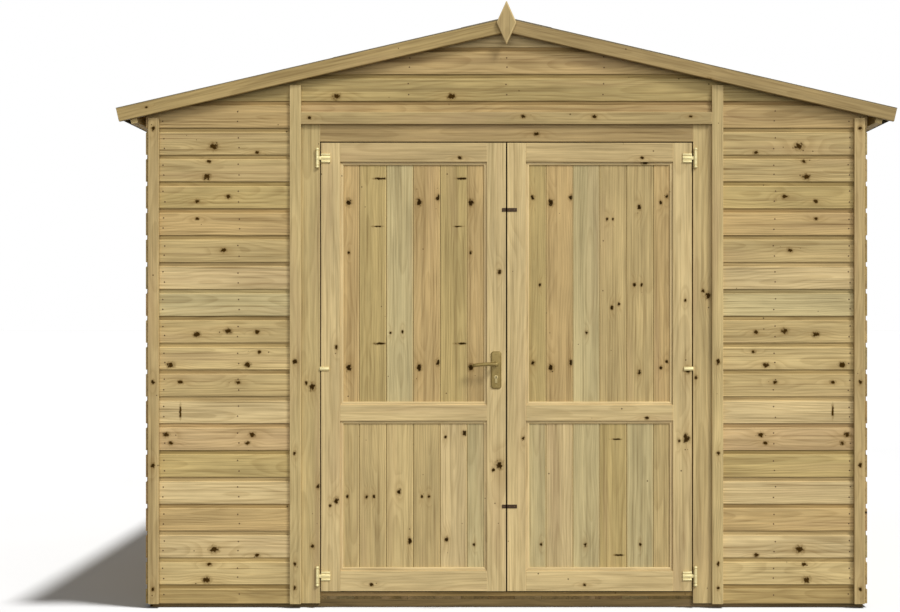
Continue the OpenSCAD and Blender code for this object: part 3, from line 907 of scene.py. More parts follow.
def turn_flat(piece, quarter_turns):
    """Turns a finished piece about the shed's upright axis by quarter turns."""
    piece.rotation_euler = (0, 0, quarter_turns * math.pi / 2)
    return settle(piece)


def roof_under():
    """Height of the roof's underside at the middle, where the back wall ends, and its fall per metre."""
    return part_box("back_wall")[1].z, math.tan(SLOPE)


def saw_to_roof(piece):
    apex, _ = roof_under()
    saw(piece, (0, 0, apex), ABOVE_RIGHT)
    saw(piece, (0, 0, apex), ABOVE_LEFT)
    return piece


# The larger knots, in millimetres: a distance from the shed's middle, a height and a radius.
# A negative radius is a check across the grain.

# Knots of the wall boards by row, with the height above the row's lower edge. Both sides match.
ROW_KNOTS = {
    1: [(1250, 20, 11), (1240, 85, 7)],
    2: [(1220, 35, 13), (1040, 10, 7)],
    6: [(1060, 65, 9), (1420, 65, 9), (1400, 30, 7), (1080, 30, 7)],
    7: [(1360, 50, -22)],
    8: [(1120, 60, 7), (1360, 60, 7)],
    9: [(1400, 20, 10), (1080, 20, 9), (1030, 75, 6)],
    10: [(1160, 50, 10), (1290, 35, 10), (1040, 45, 7)],
    13: [(1180, 50, 8)],
    14: [(1290, 70, 6)],
    15: [(1160, 50, 8), (1290, 30, 7)],
}
ROWS_APART = 15  # the lowest two rows' knots show again this many rows further up
GABLE_KNOTS = [(-710, 2130, 11), (-230, 2130, 11)]

# Knots that show twice on the tall door panels, one this far above the other, and those that show once
TWINS_APART = 690
TWIN_KNOTS = [
    (-660, 1000, 10), (-365, 1000, 10), (-315, 1000, 5), (-285, 1020, 9), (-150, 1000, 10),
    (-530, 1100, -22), (-185, 1100, -22), (110, 1020, 7), (185, 1000, 10), (235, 1000, 5),
    (270, 1020, 9), (555, 980, 7), (645, 1000, 6), (670, 1025, 6),
]
SINGLE_KNOTS = [
    (-540, 1590, -16), (-200, 1590, -16), (-660, 1480, 5), (-370, 1480, 5), (-150, 1480, 5),
    (-435, 1150, 5), (-485, 1145, 4), (185, 1480, 5), (420, 1620, 5), (445, 1620, 4), (535, 1345, 6),
    (565, 1345, 5), (140, 1345, 5), (440, 1250, 6), (470, 1265, 5), (335, 1145, 5),
]
LOW_PANEL_KNOTS = [
    (-665, 460, 5), (-585, 460, 6), (-555, 460, 5), (-450, 480, 8), (-355, 460, 5), (-325, 460, 5),
    (-405, 275, 8), (-250, 280, 8), (-135, 260, 5), (-175, 725, 8), (-255, 710, 5), (145, 260, 5),
    (330, 260, 6), (560, 260, 5), (470, 215, -18), (460, 700, -16),
]
PANEL_KNOTS = TWIN_KNOTS + [(x, z + TWINS_APART, radius) for x, z, radius in TWIN_KNOTS]
PANEL_KNOTS += SINGLE_KNOTS + LOW_PANEL_KNOTS
STILE_KNOTS = [
    (-710, 445, 9), (-735, 425, 5), (-710, 1085, 6), (-30, 595, 12), (-55, 575, 6), (-30, 1400, 7),
    (70, 705, 6), (755, 990, 10), (750, 705, 12), (720, 695, 6), (745, 1280, 5),
]
RAIL_KNOTS = [(-195, 1875, 6), (565, 1875, 6), (585, 790, 6), (-565, 95, 6), (325, 95, 5)]
JAMB_KNOTS = [
    (-810, 920, 11), (-835, 935, 6), (-810, 255, 7), (-785, 505, 7), (840, 1300, 10), (820, 1320, 6),
    (790, 960, 6),
]
TRIM_KNOTS = [
    (880, 1025, 8), (880, 645, 6), (880, 185, 6), (880, 85, 6), (1470, 1995, 7), (1470, 940, 7),
    (1470, 595, 7), (1470, 80, 6),
]
HEAD_KNOTS = [(-820, 2040, 6), (70, 2045, 7), (365, 2045, 7), (765, 2045, 5), (125, 1975, 8)]


def both_sides(knots):
    """The knots and their mirror images across the middle of the shed."""
    return [(side * x, z, radius) for x, z, radius in knots for side in (-1, 1)]


def wall_knots():
    """All chosen knots of the front's wall boards."""
    sizes = bpy.context.scene.shed_boards
    knots = []
    for row, spots in ROW_KNOTS.items():
        for level in (row, row + ROWS_APART) if row < 3 else (row,):
            bottom = 1000 * (sizes.shiplap_start + (level - 1) * sizes.shiplap_pitch)
            knots += [(x, bottom + rise, radius) for x, rise, radius in spots]
    return both_sides(knots) + GABLE_KNOTS


# Tone of each row of boards on the front, from the ground up. The top two rows are pale as painted light in
# the barge boards' shadow.
FRONT_ROWS = [
    DARK, TAN, PALE, PINK, PALE, OLIVE, BLUSH, PALE, PLAIN, TAN, PLAIN, GREEN,
    PALE, PLAIN, PINK, OLIVE, PLAIN, PLAIN, PINK, OLIVE, PINK, PALE, PALE,
]


DARKER_FROM = 1.75  # heights between which the front's boards grow darker
DARKER_TO = 2.25


def height_shade(z):
    """The boards grow a little darker up to the gable, and are painted paler again right under the ridge, a
    painted light that lifts the barge boards' shadow.
    """
    share = min(1.0, max(0.0, (z - DARKER_FROM) / (DARKER_TO - DARKER_FROM)))
    return 1.0 - 0.14 * share + 1.2 * max(0.0, z - DARKER_TO)


def row_tone(middle):
    """The tone of the front's wall board at this middle."""
    sizes = bpy.context.scene.shed_boards
    row = int((middle.z - sizes.shiplap_start + sizes.shiplap_pitch) / sizes.shiplap_pitch)
    tone = FRONT_ROWS[max(0, min(row, len(FRONT_ROWS) - 1))]
    return tuple(value * height_shade(middle.z) for value in tone)


class SHED_OT_front_cladding(bpy.types.Operator):
    """Clads the front with shiplap beside and over the doorway."""

    bl_idname = "shed.front_cladding"
    bl_label = "Front cladding"
    bl_options = {"REGISTER", "UNDO"}

    def execute(self, context):
        for seed, node in enumerate(("front_wall_left", "front_wall_right", "front_gable")):
            low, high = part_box(node)
            piece = shiplap(f"{node}_boards", low.x, high.x, low.y, high.y, high.z)
            saw(piece, (0, 0, low.z), (0, 0, -1))
            saw_to_roof(piece)
            paint_shiplap_light_and_shade(piece, low.y)
            grain_boards(piece, "cladding", "along_front", 100 + seed, row_tone, wall_knots())
            place_piece(piece, "shed", "cladding", node)
        return {"FINISHED"}


class SHED_OT_back_cladding(bpy.types.Operator):
    """Clads the back with shiplap up to the roof."""

    bl_idname = "shed.back_cladding"
    bl_label = "Back cladding"
    bl_options = {"REGISTER", "UNDO"}

    def execute(self, context):
        low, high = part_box("back_wall")
        piece = shiplap("back_wall_boards", -high.x, -low.x, -high.y, -low.y, high.z)
        saw(piece, (0, 0, low.z), (0, 0, -1))
        saw_to_roof(piece)
        paint_shiplap_light_and_shade(piece, -high.y)
        turn_flat(piece, 2)
        grain_boards(piece, "cladding", "along_front", 110)
        place_piece(piece, "shed", "cladding", "back_wall")
        return {"FINISHED"}


class SHED_OT_side_cladding(bpy.types.Operator):
    """Clads both sides with shiplap, whose ends show at the corners."""

    bl_idname = "shed.side_cladding"
    bl_label = "Side cladding"
    bl_options = {"REGISTER", "UNDO"}

    def execute(self, context):
        for seed, (node, turns) in enumerate((("right_wall", 1), ("left_wall", -1))):
            low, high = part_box(node)
            outer = max(abs(low.x), abs(high.x))
            inner = min(abs(low.x), abs(high.x))
            piece = shiplap(f"{node}_boards", low.y, high.y, -outer, -inner, high.z)
            saw(piece, (0, 0, low.z), (0, 0, -1))
            paint_shiplap_light_and_shade(piece, -outer)
            turn_flat(piece, turns)
            saw_to_roof(piece)
            grain_boards(piece, "cladding", "along_side", 120 + seed)
            place_piece(piece, "shed", "cladding", node)
        return {"FINISHED"}


NAIL_SINK = 0.0002  # how far a nail's foot lies behind the face of the wall
NAIL_RISES = (0.028, 0.07)  # heights of a pair of nails above the lower edge of their board
STUD_MARGIN = 0.03
HALF_COVERED = 0.04  # no nails this near to the middle of a cover trim


class SHED_OT_nails(bpy.types.Operator):
    """Drives a pair of nails through each wall board at each stud."""

    bl_idname = "shed.nails"
    bl_label = "Cladding nails"
    bl_options = {"REGISTER", "UNDO"}

    def execute(self, context):
        size = context.scene.shed_boards.nail_radius
        rings = [(0.0, size * 0.86), (0.0006, size), (0.0011, size * 0.7)]
        proto = turned("nail", (0, 0, 0), rings, 8, False)
        front_low, front_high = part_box("front_wall_right")
        gable_low, gable_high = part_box("front_gable")
        side_low, side_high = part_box("right_wall")
        end_studs = [((low.x + high.x) / 2, low.y > 0) for low, high in timbers_of_node("end_studs")]
        side_studs = timbers_of_node("side_studs")
        apex, fall = roof_under()
        draw = random.Random(7)
        places = []
        forward, backward = Vector((0, -1, 0)), Vector((0, 1, 0))
        reach = -front_low.y - NAIL_SINK
        for x in [x for x, at_back in end_studs if not at_back]:
            roof = apex - abs(x) * fall
            if abs(x) > front_low.x + STUD_MARGIN:
                places += nail_column(draw, forward, reach, x, front_low.z, roof)
            elif abs(x) < gable_high.x - STUD_MARGIN:
                places += nail_column(draw, forward, reach, x, gable_low.z + 0.03, roof)
        for x in [x for x, at_back in end_studs if at_back]:
            # The back's cover trims lie a third of the way out
            if abs(abs(x) - front_high.x / 3) > HALF_COVERED:
                places += nail_column(draw, backward, reach, x, front_low.z, apex - abs(x) * fall)
        reach = side_high.x - NAIL_SINK
        eaves = apex - reach * fall - 0.01
        for y in [(low.y + high.y) / 2 for low, high in side_studs if low.x > 0]:
            if abs(y) > HALF_COVERED:
                for way in (1, -1):
                    places += nail_column(draw, Vector((way, 0, 0)), reach, y, side_low.z, eaves)
        drive("cladding_nails", proto, places)
        return {"FINISHED"}


def nail_column(draw, outward, reach, along, low_z, high_z):
    """Pairs of nails up one stud, in the wall that looks outward and whose face is reach away."""
    sizes = bpy.context.scene.shed_boards
    wall_way = Vector((abs(outward.y), abs(outward.x), 0))
    places = []
    row = 0
    while True:
        bottom = sizes.shiplap_start + (row - 1) * sizes.shiplap_pitch
        for rise in NAIL_RISES:
            z = bottom + rise + draw.uniform(-0.003, 0.003)
            if z > high_z - 0.03:
                return places
            if z > low_z + 0.012:
                across = along + draw.uniform(-0.005, 0.005)
                places.append((outward * reach + wall_way * across + Vector((0, 0, z)), outward))
        row += 1


def drive(name, proto, places, body="shed", slot="dark_metal", finish=nail_steel):
    """Copies a nail or screw to each place, as (point, outward normal), and joins them."""
    copies = []
    for point, outward in places:
        other = copy_of(proto, name, point)
        other.rotation_euler = outward.to_track_quat("Z", "Y").to_euler()
        copies.append(other)
    bpy.data.objects.remove(proto)
    piece = join(name, copies)
    coat(piece, finish())
    return place_piece(piece, body, slot)


# Trim and surround -----------------------------------------------------------------------


class SHED_OT_trims(bpy.types.Operator):
    """Fits the corner trims, the cover trims and the trims round the doorway."""

    bl_idname = "shed.trims"
    bl_label = "Trims"
    bl_options = {"REGISTER", "UNDO"}

    def execute(self, context):
        trims = both_sides(TRIM_KNOTS)
        plain_timber("corner_trims", "corner_trim_boards", "shed", "joinery", "upright", 201,
                     tones=trim_tone, knots=trims)
        plain_timber("cover_trims", "cover_trim_boards", "shed", "joinery", "upright_side", 202,
                     tones=trim_tone)
        piece = from_frame("door_trims", "door_trim_boards", context.scene.shed_boards.arris)
        head = split_out(piece, "door_head_trim_board", lies_level)
        for board, grain, seed in ((piece, "upright", 203), (head, "along_front", 204)):
            pale_edges_wear_and_highlight(board, is_arris)
            grain_boards(board, "joinery", grain, seed, trim_tone, trims + HEAD_KNOTS)
            place_piece(board, "shed", "joinery", "door_trims")
        return {"FINISHED"}


def jamb_tone(middle):
    return (0.84, 0.84, 0.78) if middle.x < 0 else (0.89, 0.88, 0.83)


def trim_tone(middle):
    """The corner trims are browner than the trims round the doorway, and the one over it is darkest."""
    if middle.z > 1.9:
        return 0.73, 0.71, 0.65
    return (0.8, 0.77, 0.72) if abs(middle.x) > 1.2 else (0.9, 0.9, 0.85)


def barge_tone(middle):
    return (0.71, 0.67, 0.57) if middle.x < 0 else (0.62, 0.58, 0.51)


class SHED_OT_surround(bpy.types.Operator):
    """Fits the jamb boards, the head board and the door stops."""

    bl_idname = "shed.surround"
    bl_label = "Door surround"
    bl_options = {"REGISTER", "UNDO"}

    def execute(self, context):
        for node, finish, seed in (("door_surround", "joinery", 211), ("door_stops", "framing", 213)):
            piece = from_frame(node, f"{node}_uprights", 0.0012)
            head = split_out(piece, f"{node}_head", lies_level)
            grains = ((piece, "upright", seed, jamb_tone), (head, "along_front", seed + 1, HEAD_PAINTED_SHADE))
            for board, grain, board_seed, tones in grains:
                pale_edges_wear_and_highlight(board, is_arris)
                grain_boards(board, finish, grain, board_seed, tones, JAMB_KNOTS + HEAD_KNOTS)
                place_piece(board, "shed", finish, node)
        return {"FINISHED"}


# Wall frames and floor -------------------------------------------------------------------

SAWN_ARRIS = 0.0015


class SHED_OT_wall_frames(bpy.types.Operator):
    """Builds the studs, rails, rafters, posts and header inside the walls."""

    bl_idname = "shed.wall_frames"
    bl_label = "Wall frames"
    bl_options = {"REGISTER", "UNDO"}

    def execute(self, context):
        timbers = (
            ("end_studs", "upright", 220),
            ("door_posts", "upright", 221),
            ("side_studs", "upright_side", 225),
            ("top_rails", "along_side", 230),
            ("door_header", "along_front", 231),
        )
        for node, grain, seed in timbers:
            plain_timber(node, f"{node}_sawn", "shed", "framing", grain, seed, SAWN_ARRIS)
        piece = from_frame("bottom_rails", "bottom_rails_side", SAWN_ARRIS)
        across = split_out(piece, "bottom_rails_end", lambda middle, size: size.x > size.y)
        for board, grain, seed in ((piece, "along_side", 232), (across, "along_front", 233)):
            pale_edges_wear_and_highlight(board, is_arris)
            grain_boards(board, "framing", grain, seed)
            place_piece(board, "shed", "framing", "bottom_rails")
        rafters = from_frame("gable_rafters", "rafters_right", SAWN_ARRIS)
        left = split_out(rafters, "rafters_left", is_on_left)
        for board, grain, seed in ((rafters, "barge_right", 234), (left, "barge_left", 235)):
            grain_boards(board, "framing", grain, seed)
            place_piece(board, "shed", "framing", "gable_rafters")
        return {"FINISHED"}


class SHED_OT_floor(bpy.types.Operator):
    """Lays the bearers, the floor planks and the threshold."""

    bl_idname = "shed.floor"
    bl_label = "Floor"
    bl_options = {"REGISTER", "UNDO"}

    def execute(self, context):
        plain_timber("floor_bearers", "floor_bearers_sawn", "shed", "base", "along_front", 240, 0.002)
        plain_timber("threshold", "threshold_board", "shed", "base", "along_front", 241, 0.0025,
                     tones=THRESHOLD_TONE)
        low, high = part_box("floor_boards")
        # The planks are drawn across and turned, so that they run from front to back
        piece = planks("floor_planks", low.y, high.y, low.x, high.x, low.z, high.z)
        turn_flat(piece, 1)
        grain_boards(piece, "framing", "along_floor", 242)
        # The planks' ends show dark under the doors
        piece.data.materials.append(timber("base", "along_floor"))
        for face in piece.data.polygons:
            if abs(face.normal.y) > 0.9:
                face.material_index = 1
        place_piece(piece, "shed", "framing", "floor_boards")
        return {"FINISHED"}


# Roof ------------------------------------------------------------------------------------


def ridge_top():
    """Height of the roof's top surface at the ridge."""
    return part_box("right_roof_felt")[1].z


def slope_piece(piece, right=True):
    """Turns a piece drawn level, with the ridge at X 0 and the roof's surface at Z 0, onto a slope."""
    piece.rotation_euler = (0, SLOPE if right else -SLOPE, 0)
    piece.location = (0, 0, ridge_top())
    return settle(piece)


UNDER_FELT = -0.00303  # the planks' top, from the roof's surface
ROOF_PLANK_THICKNESS = 0.016


class SHED_OT_roof_boards(bpy.types.Operator):
    """Lays the roof planks down both slopes."""

    bl_idname = "shed.roof_boards"
    bl_label = "Roof boards"
    bl_options = {"REGISTER", "UNDO"}

    def execute(self, context):
        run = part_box("right_roof_felt")[1].x / math.cos(SLOPE) - 0.003
        for side, right in (("right", True), ("left", False)):
            node = f"{side}_roof_boards"
            low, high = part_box(node)
            x0, x1 = (-0.02, run) if right else (-run, 0.02)
            bottom = UNDER_FELT - ROOF_PLANK_THICKNESS
            piece = planks(f"{node}_planks", x0, x1, low.y, high.y, bottom, UNDER_FELT, 0.0012)
            slope_piece(piece, right)
            saw(piece, (0, 0, 0), (-1 if right else 1, 0, 0))
            grain_boards(piece, "framing", "down_right" if right else "down_left", 250 + right)
            place_piece(piece, "shed", "framing", node)
        return {"FINISHED"}


class SHED_OT_roof_timbers(bpy.types.Operator):
    """Sets the ridge beam, the purlins and the eaves battens."""

    bl_idname = "shed.roof_timbers"
    bl_label = "Roof timbers"
    bl_options = {"REGISTER", "UNDO"}

    def execute(self, context):
        plain_timber("purlins", "purlins_sawn", "shed", "framing", "along_side", 256, SAWN_ARRIS)
        plain_timber("eaves_battens", "eaves_batten_boards", "shed", "joinery", "along_side", 257)
        return {"FINISHED"}


class SHED_OT_barge_boards(bpy.types.Operator):
    """Fits the barge boards and the diamond finials."""

    bl_idname = "shed.barge_boards"
    bl_label = "Barge boards"
    bl_options = {"REGISTER", "UNDO"}

    def execute(self, context):
        for seed, end in enumerate(("front", "back")):
            node = f"{end}_barge_boards"
            right = from_frame(node, f"{end}_barge_right", context.scene.shed_boards.arris)
            left = split_out(right, f"{end}_barge_left", is_on_left)
            for board, grain in ((right, "barge_right"), (left, "barge_left")):
                grain_boards(board, "joinery", grain, 260 + seed * 2 + (board is left), barge_tone)
                place_piece(board, "shed", "joinery", node)
        plain_timber("finials", "finial_diamonds", "shed", "joinery", "upright", 265, 0.0055,
                     tones=FINIAL_TONE)
        return {"FINISHED"}


class SHED_OT_felt(bpy.types.Operator):
    """Lays the roofing felt: an eaves sheet, an upper sheet that laps it, and a ridge cap."""

    bl_idname = "shed.felt"
    bl_label = "Roofing felt"
    bl_options = {"REGISTER", "UNDO"}

    def execute(self, context):
        sizes = context.scene.shed_roof
        for side, right in (("right", True), ("left", False)):
            node = f"{side}_roof_felt"
            piece = from_frame(node, f"{side}_felt_sheet", 0.0008)
            lay_felt(piece, node)
            low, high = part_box(node)
            run = high.x / math.cos(SLOPE) if right else -low.x / math.cos(SLOPE)
            way = 1 if right else -1
            lap_at = run - sizes.sheet_width + sizes.lap
            sheets = (
                ("upper", 0.02, lap_at, 0.0, sizes.lap_rise),
                ("cap", -0.001, sizes.cap_width, sizes.lap_rise, sizes.lap_rise * 2),
            )
            for label, start, end, z0, z1 in sheets:
                x0, x1 = sorted((way * start, way * end))
                y0, y1 = low.y + 0.0005, high.y - 0.0005
                sheet = felt_sheet(f"{side}_felt_{label}", x0, x1, y0, y1, z0, z1, way)
                slope_piece(sheet, right)
                saw(sheet, (0, 0, 0), (-way, 0, 0))
                soften(sheet, 30)
                lay_felt(sheet)
            self.clouts(side, way, run, low, high, lap_at)
        return {"FINISHED"}

    def clouts(self, side, way, run, low, high, lap_at):
        """Felt nails along the eaves, the lap and the ridge cap."""
        sizes = bpy.context.scene.shed_roof
        out = Vector((way * math.sin(SLOPE), 0, math.cos(SLOPE)))
        down = Vector((way * math.cos(SLOPE), 0, -math.sin(SLOPE)))
        top = Vector((0, 0, ridge_top()))
        places = []
        rows = ((lap_at - 0.022, sizes.lap_rise), (sizes.cap_width - 0.025, sizes.lap_rise * 2))
        for reach, rise in rows:
            y = low.y + 0.05
            while y < high.y - 0.04:
                places.append((top + down * reach + Vector((0, y, 0)) + out * rise, out))
                y += sizes.clout_pitch
        y = low.y + 0.07
        while y < high.y - 0.06:
            places.append((top + down * (run - 0.0004) - out * 0.026 + Vector((0, y, 0)), down))
            y += sizes.clout_pitch
        proto = turned("clout", (0, 0, 0), [(-0.0002, 0.005), (0.0004, 0.0052), (0.0009, 0.0036)], 8, False)
        drive(f"{side}_felt_clouts", proto, places, slot="dark_metal")


def lay_felt(piece, *nodes):
    """Gives a sheet its dressing, and its cut ends their own colour."""
    coat(piece, mineral_felt())
    piece.data.materials.append(mineral_felt("felt_edge"))
    for face in piece.data.polygons:
        face.material_index = 1 if abs(face.normal.y) > 0.7 else 0
    place_piece(piece, "shed", "felt", *nodes)


def felt_sheet(name, x0, x1, y0, y1, z0, z1, way):
    """A sheet of felt with a slightly wandering lower edge."""
    piece = block(name, (x0, y0, z0), (x1, y1, z1))
    edit(piece)
    pick(piece, "EDGE", lambda edge: abs(edge_way(edge).y) > 0.9)
    bpy.ops.mesh.subdivide(number_cuts=24)
    leave_edit()
    edge = x1 if way > 0 else x0
    for vertex in piece.data.vertices:
        if abs(vertex.co.x - edge) < 1e-4:
            wander = 0.0022 * math.sin(vertex.co.y * 5.1 + way) + 0.0012 * math.sin(vertex.co.y * 17.0)
            vertex.co.x += wander
    return ease(piece, 0.0009, 2)


# Doors -----------------------------------------------------------------------------------

# How far from the shed's middle the door boards of each leaf have a joint
JOINT_FROM_MIDDLE = 0.165
# Strength of the tone of all door boards
PANEL_SHADE = 0.94

# Tones of the door boards from left to right, by leaf and panel: is it the left leaf, and the upper panel?
PANEL_TONES = {
    (True, True): [ROSE, OLIVE, GREEN, ROSE, OLIVE, PINK],
    (True, False): [PLAIN, PLAIN, TAN, PLAIN, PALE, GREEN],
    (False, True): [OLIVE, ROSE, GREEN, PLAIN, PLAIN, PINK],
    (False, False): [GREEN, PALE, GREEN, OLIVE, GREEN, PLAIN],
}


def panel_tone(middle):
    """The tone of the door board at this middle: each leaf's boards are counted from its left."""
    left = middle.x < 0
    low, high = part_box("left_door_panels" if left else "right_door_panels")
    pitch = bpy.context.scene.shed_boards.match_pitch
    column = int((middle.x - low.x) / pitch + 0.1)
    tones = PANEL_TONES[left, middle.z > (low.z + high.z) / 2]
    tone = tones[max(0, min(column, len(tones) - 1))]
    return tuple(value * PANEL_SHADE for value in tone)


def door_face():
    """Where the front of the door leaves lies along Y."""
    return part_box("left_door_stiles")[0].y


def leaf_tone(middle):
    """The top rails are a little darker than the rest of the leaves."""
    return (0.9, 0.88, 0.86) if middle.z > 1.8 else (1.0, 1.0, 1.0)


class SHED_OT_doors(bpy.types.Operator):
    """Builds both door leaves: stiles, rails, match-boarded panels and the beads round them."""

    bl_idname = "shed.doors"
    bl_label = "Doors"
    bl_options = {"REGISTER", "UNDO"}

    def execute(self, context):
        sizes = context.scene.shed_boards
        for seed, (side, way) in enumerate((("left", -1), ("right", 1))):
            body = f"{side}_door"
            plain_timber(f"{body}_stiles", f"{body}_stile_boards", body, "joinery", "upright",
                         300 + seed, tones=leaf_tone, knots=STILE_KNOTS)
            plain_timber(f"{body}_rails", f"{body}_rail_boards", body, "joinery", "along_front",
                         304 + seed, tones=leaf_tone, knots=RAIL_KNOTS)
            node = f"{body}_panels"
            joint = way * JOINT_FROM_MIDDLE
            panels = []
            beads = []
            for low, high in timbers_of_node(node):
                panels.append(matchboards("panel", low.x, high.x, low.y, high.y, low.z, high.z, joint))
                front = door_face() + sizes.bead_set
                beads.append(bead_frame("bead", low, high, front, low.y, sizes.bead_width))
            panel = join(f"{body}_panel_boards", panels)
            grain_boards(panel, "panel", "upright", 310 + seed, panel_tone, PANEL_KNOTS)
            place_piece(panel, body, "joinery", node)
            bead = join(f"{body}_beads", beads)
            level = split_out(bead, f"{body}_beads_level", lies_level)
            for step, (board, grain) in enumerate(((bead, "upright"), (level, "along_front"))):
                pale_edges_wear_and_highlight(board, is_arris)
                grain_boards(board, "joinery", grain, 315 + seed * 2 + step, TAN)
                place_piece(board, body, "joinery")
        return {"FINISHED"}


def bead_frame(name, low, high, y0, y1, width):
    """Four mitred strips inside an opening, each rounded along its inner edge."""
    strips = []
    centre = (low + high) / 2
    half_wide, half_high = (high.x - low.x) / 2, (high.z - low.z) / 2
    for quarter in range(4):
        half, reach = (half_high, half_wide) if quarter % 2 else (half_wide, half_high)
        strip = block(name, (-half, y0, reach - width), (half, y1, reach))

        def is_inner_edge(edge):
            middle = edge_middle(edge)
            on_face = abs(edge_way(edge).x) > 0.9 and abs(middle.y - y0) < 1e-5
            return on_face and middle.z < reach - width / 2

        edit(strip)
        pick(strip, "EDGE", is_inner_edge)
        bpy.ops.mesh.bevel(offset=min(width, y1 - y0) * 0.62, segments=4, profile=0.5)
        leave_edit()
        saw(strip, (half, 0, reach), (1, 0, -1))
        saw(strip, (-half, 0, reach), (-1, 0, -1))
        strip.rotation_euler = (0, quarter * math.pi / 2, 0)
        strip.location = (centre.x, 0, centre.z)
        strips.append(settle(strip))
    return join(name, strips)


# Fittings --------------------------------------------------------------------------------


def joint_place(name):
    for joint in frame["joints"]:
        if joint["name"] == name:
            return Vector(joint["pos_m"])
    raise RuntimeError(f"the frame has no joint {name}")


def screw_head(name, radius):
    """A low screw head, facing up."""
    return turned(name, (0, 0, 0), [(-0.0006, radius), (0.0003, radius), (0.0009, radius * 0.72)], 20)


# Half of a hinge barrel, measured from its middle: the knuckle, then a ball with a pointed tip
KNUCKLE_START = 0.0073
KNUCKLE_END = 0.0284
KNUCKLE_RADIUS = 0.0072
BALL_MIDDLE = 0.0366
BALL_RADII = (0.0072, 0.0082)  # along the barrel, and across it
BARREL_TIP = 0.0438
PIN_RADIUS = 0.003
FLANGE_HALF = 0.0035  # half the thickness of the plate that joins a knuckle to the door


def barrel_rings():
    """The rings of half a hinge barrel, from its middle up to its tip."""
    rings = [
        (KNUCKLE_START, 0.0066), (KNUCKLE_START + 0.0007, KNUCKLE_RADIUS), (KNUCKLE_END, KNUCKLE_RADIUS),
        (0.0292, 0.0064), (0.0297, 0.0054),
    ]
    for step in range(2, 9):
        angle = math.pi * step / 9
        rings.append((BALL_MIDDLE - BALL_RADII[0] * math.cos(angle), BALL_RADII[1] * math.sin(angle)))
    return rings + [(BARREL_TIP, 0.0003)]


class SHED_OT_hinges(bpy.types.Operator):
    """Fits the hinges: ball-tipped barrels on the jambs and ribbed plates on the leaves."""

    bl_idname = "shed.hinges"
    bl_label = "Hinges"
    bl_options = {"REGISTER", "UNDO"}

    def execute(self, context):
        knuckles = []
        for low, high in timbers_of_node("hinge_barrels"):
            joint = joint_place("left_door_swing" if low.x < 0 else "right_door_swing")
            middle = (low.z + high.z) / 2
            for way in (1, -1):
                half = turned("half", (0, 0, 0), barrel_rings(), 24)
                half.scale = (1, 1, way)
                half.location = (joint.x, joint.y, middle)
                settle(half)
                turn_out(half)
                knuckles.append(half)
            ends = [(-KNUCKLE_START, PIN_RADIUS), (KNUCKLE_START, PIN_RADIUS)]
            knuckles.append(turned("pin", (joint.x, joint.y, middle), ends, 16))
            for way in (1, -1):
                z0, z1 = sorted((middle + way * (KNUCKLE_START + 0.0008), middle + way * KNUCKLE_END))
                flange = block("flange", (joint.x - FLANGE_HALF, joint.y, z0),
                               (joint.x + FLANGE_HALF, door_face(), z1))
                ease(flange, 0.0008, 2)
                knuckles.append(flange)
        piece = join("hinge_barrel_set", knuckles)
        coat(piece, hinge_brass())
        place_piece(piece, "shed", "hinge_brass", "hinge_barrels")
        for side in ("left", "right"):
            node = f"{side}_hinge_plates"
            plate = from_frame(node, f"{side}_hinge_leaves", 0.0006)
            soften(plate)
            coat(plate, hinge_brass())
            place_piece(plate, f"{side}_door", "hinge_brass", node)
        return {"FINISHED"}


SCREW_FROM_END = 0.012  # from a handle plate's end to the middle of its screw
KEYWAY_HALF = 0.0017
KEYWAY_RISE = 0.0004


class SHED_OT_handle(bpy.types.Operator):
    """Fits the handle set: two plates, two levers, the lock cylinder and their screws."""

    bl_idname = "shed.handle"
    bl_label = "Handle set"
    bl_options = {"REGISTER", "UNDO"}

    def execute(self, context):
        spindle = joint_place("door_handle_turn")
        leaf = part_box("left_door_stiles")
        plates = []
        screws = []
        for low, high in timbers_of_node("handle_plates"):
            front = high.y <= leaf[0].y + 1e-4
            plates.append(handle_plate(low, high, front))
            x = (low.x + high.x) / 2
            y = low.y + 0.0006 if front else high.y - 0.0006
            for z in (low.z + SCREW_FROM_END, high.z - SCREW_FROM_END):
                screws.append((Vector((x, y, z)), Vector((0, -1 if front else 1, 0))))
        plate = join("handle_plate_pair", plates)
        soften(plate, 40)
        coat(plate, handle_brass())
        place_piece(plate, "left_door", "handle_brass", "handle_plates")
        for node, way in (("outer_lever", -1), ("inner_lever", 1)):
            low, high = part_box(node)
            face = leaf[0].y if way < 0 else leaf[1].y
            outer = low.y if way < 0 else high.y
            lever = lever_bar(f"{node}_bar", spindle, face, outer, low.x, way)
            coat(lever, handle_brass())
            place_piece(lever, "door_handle", "handle_brass", node)
        self.cylinder()
        drive("handle_screws", screw_head("plate_screw", 0.0038), screws, "left_door", "handle_brass",
              handle_brass)
        return {"FINISHED"}

    def cylinder(self):
        """The lock cylinder, with a keyway at each end: a thin black plate, painted shade standing in for
        the slot.
        """
        cylinder = from_frame("lock_cylinder", "lock_cylinder_body", 0.0006)
        soften(cylinder)
        coat(cylinder, lock_brass())
        place_piece(cylinder, "left_door", "handle_brass", "lock_cylinder")
        low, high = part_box("lock_cylinder")
        x = (low.x + high.x) / 2
        slots = []
        for y, way in ((low.y, -1), (high.y, 1)):
            y0, y1 = sorted((y, y + way * KEYWAY_RISE))
            keyway = block("keyway", (x - KEYWAY_HALF, y0, high.z - 0.0135),
                           (x + KEYWAY_HALF, y1, high.z - 0.004))
            ease(keyway, 0.0003, 1)
            slots.append(keyway)
        keyway = join("lock_keyways", slots)
        coat(keyway, key_slot_black())
        place_piece(keyway, "left_door", "dark_metal")


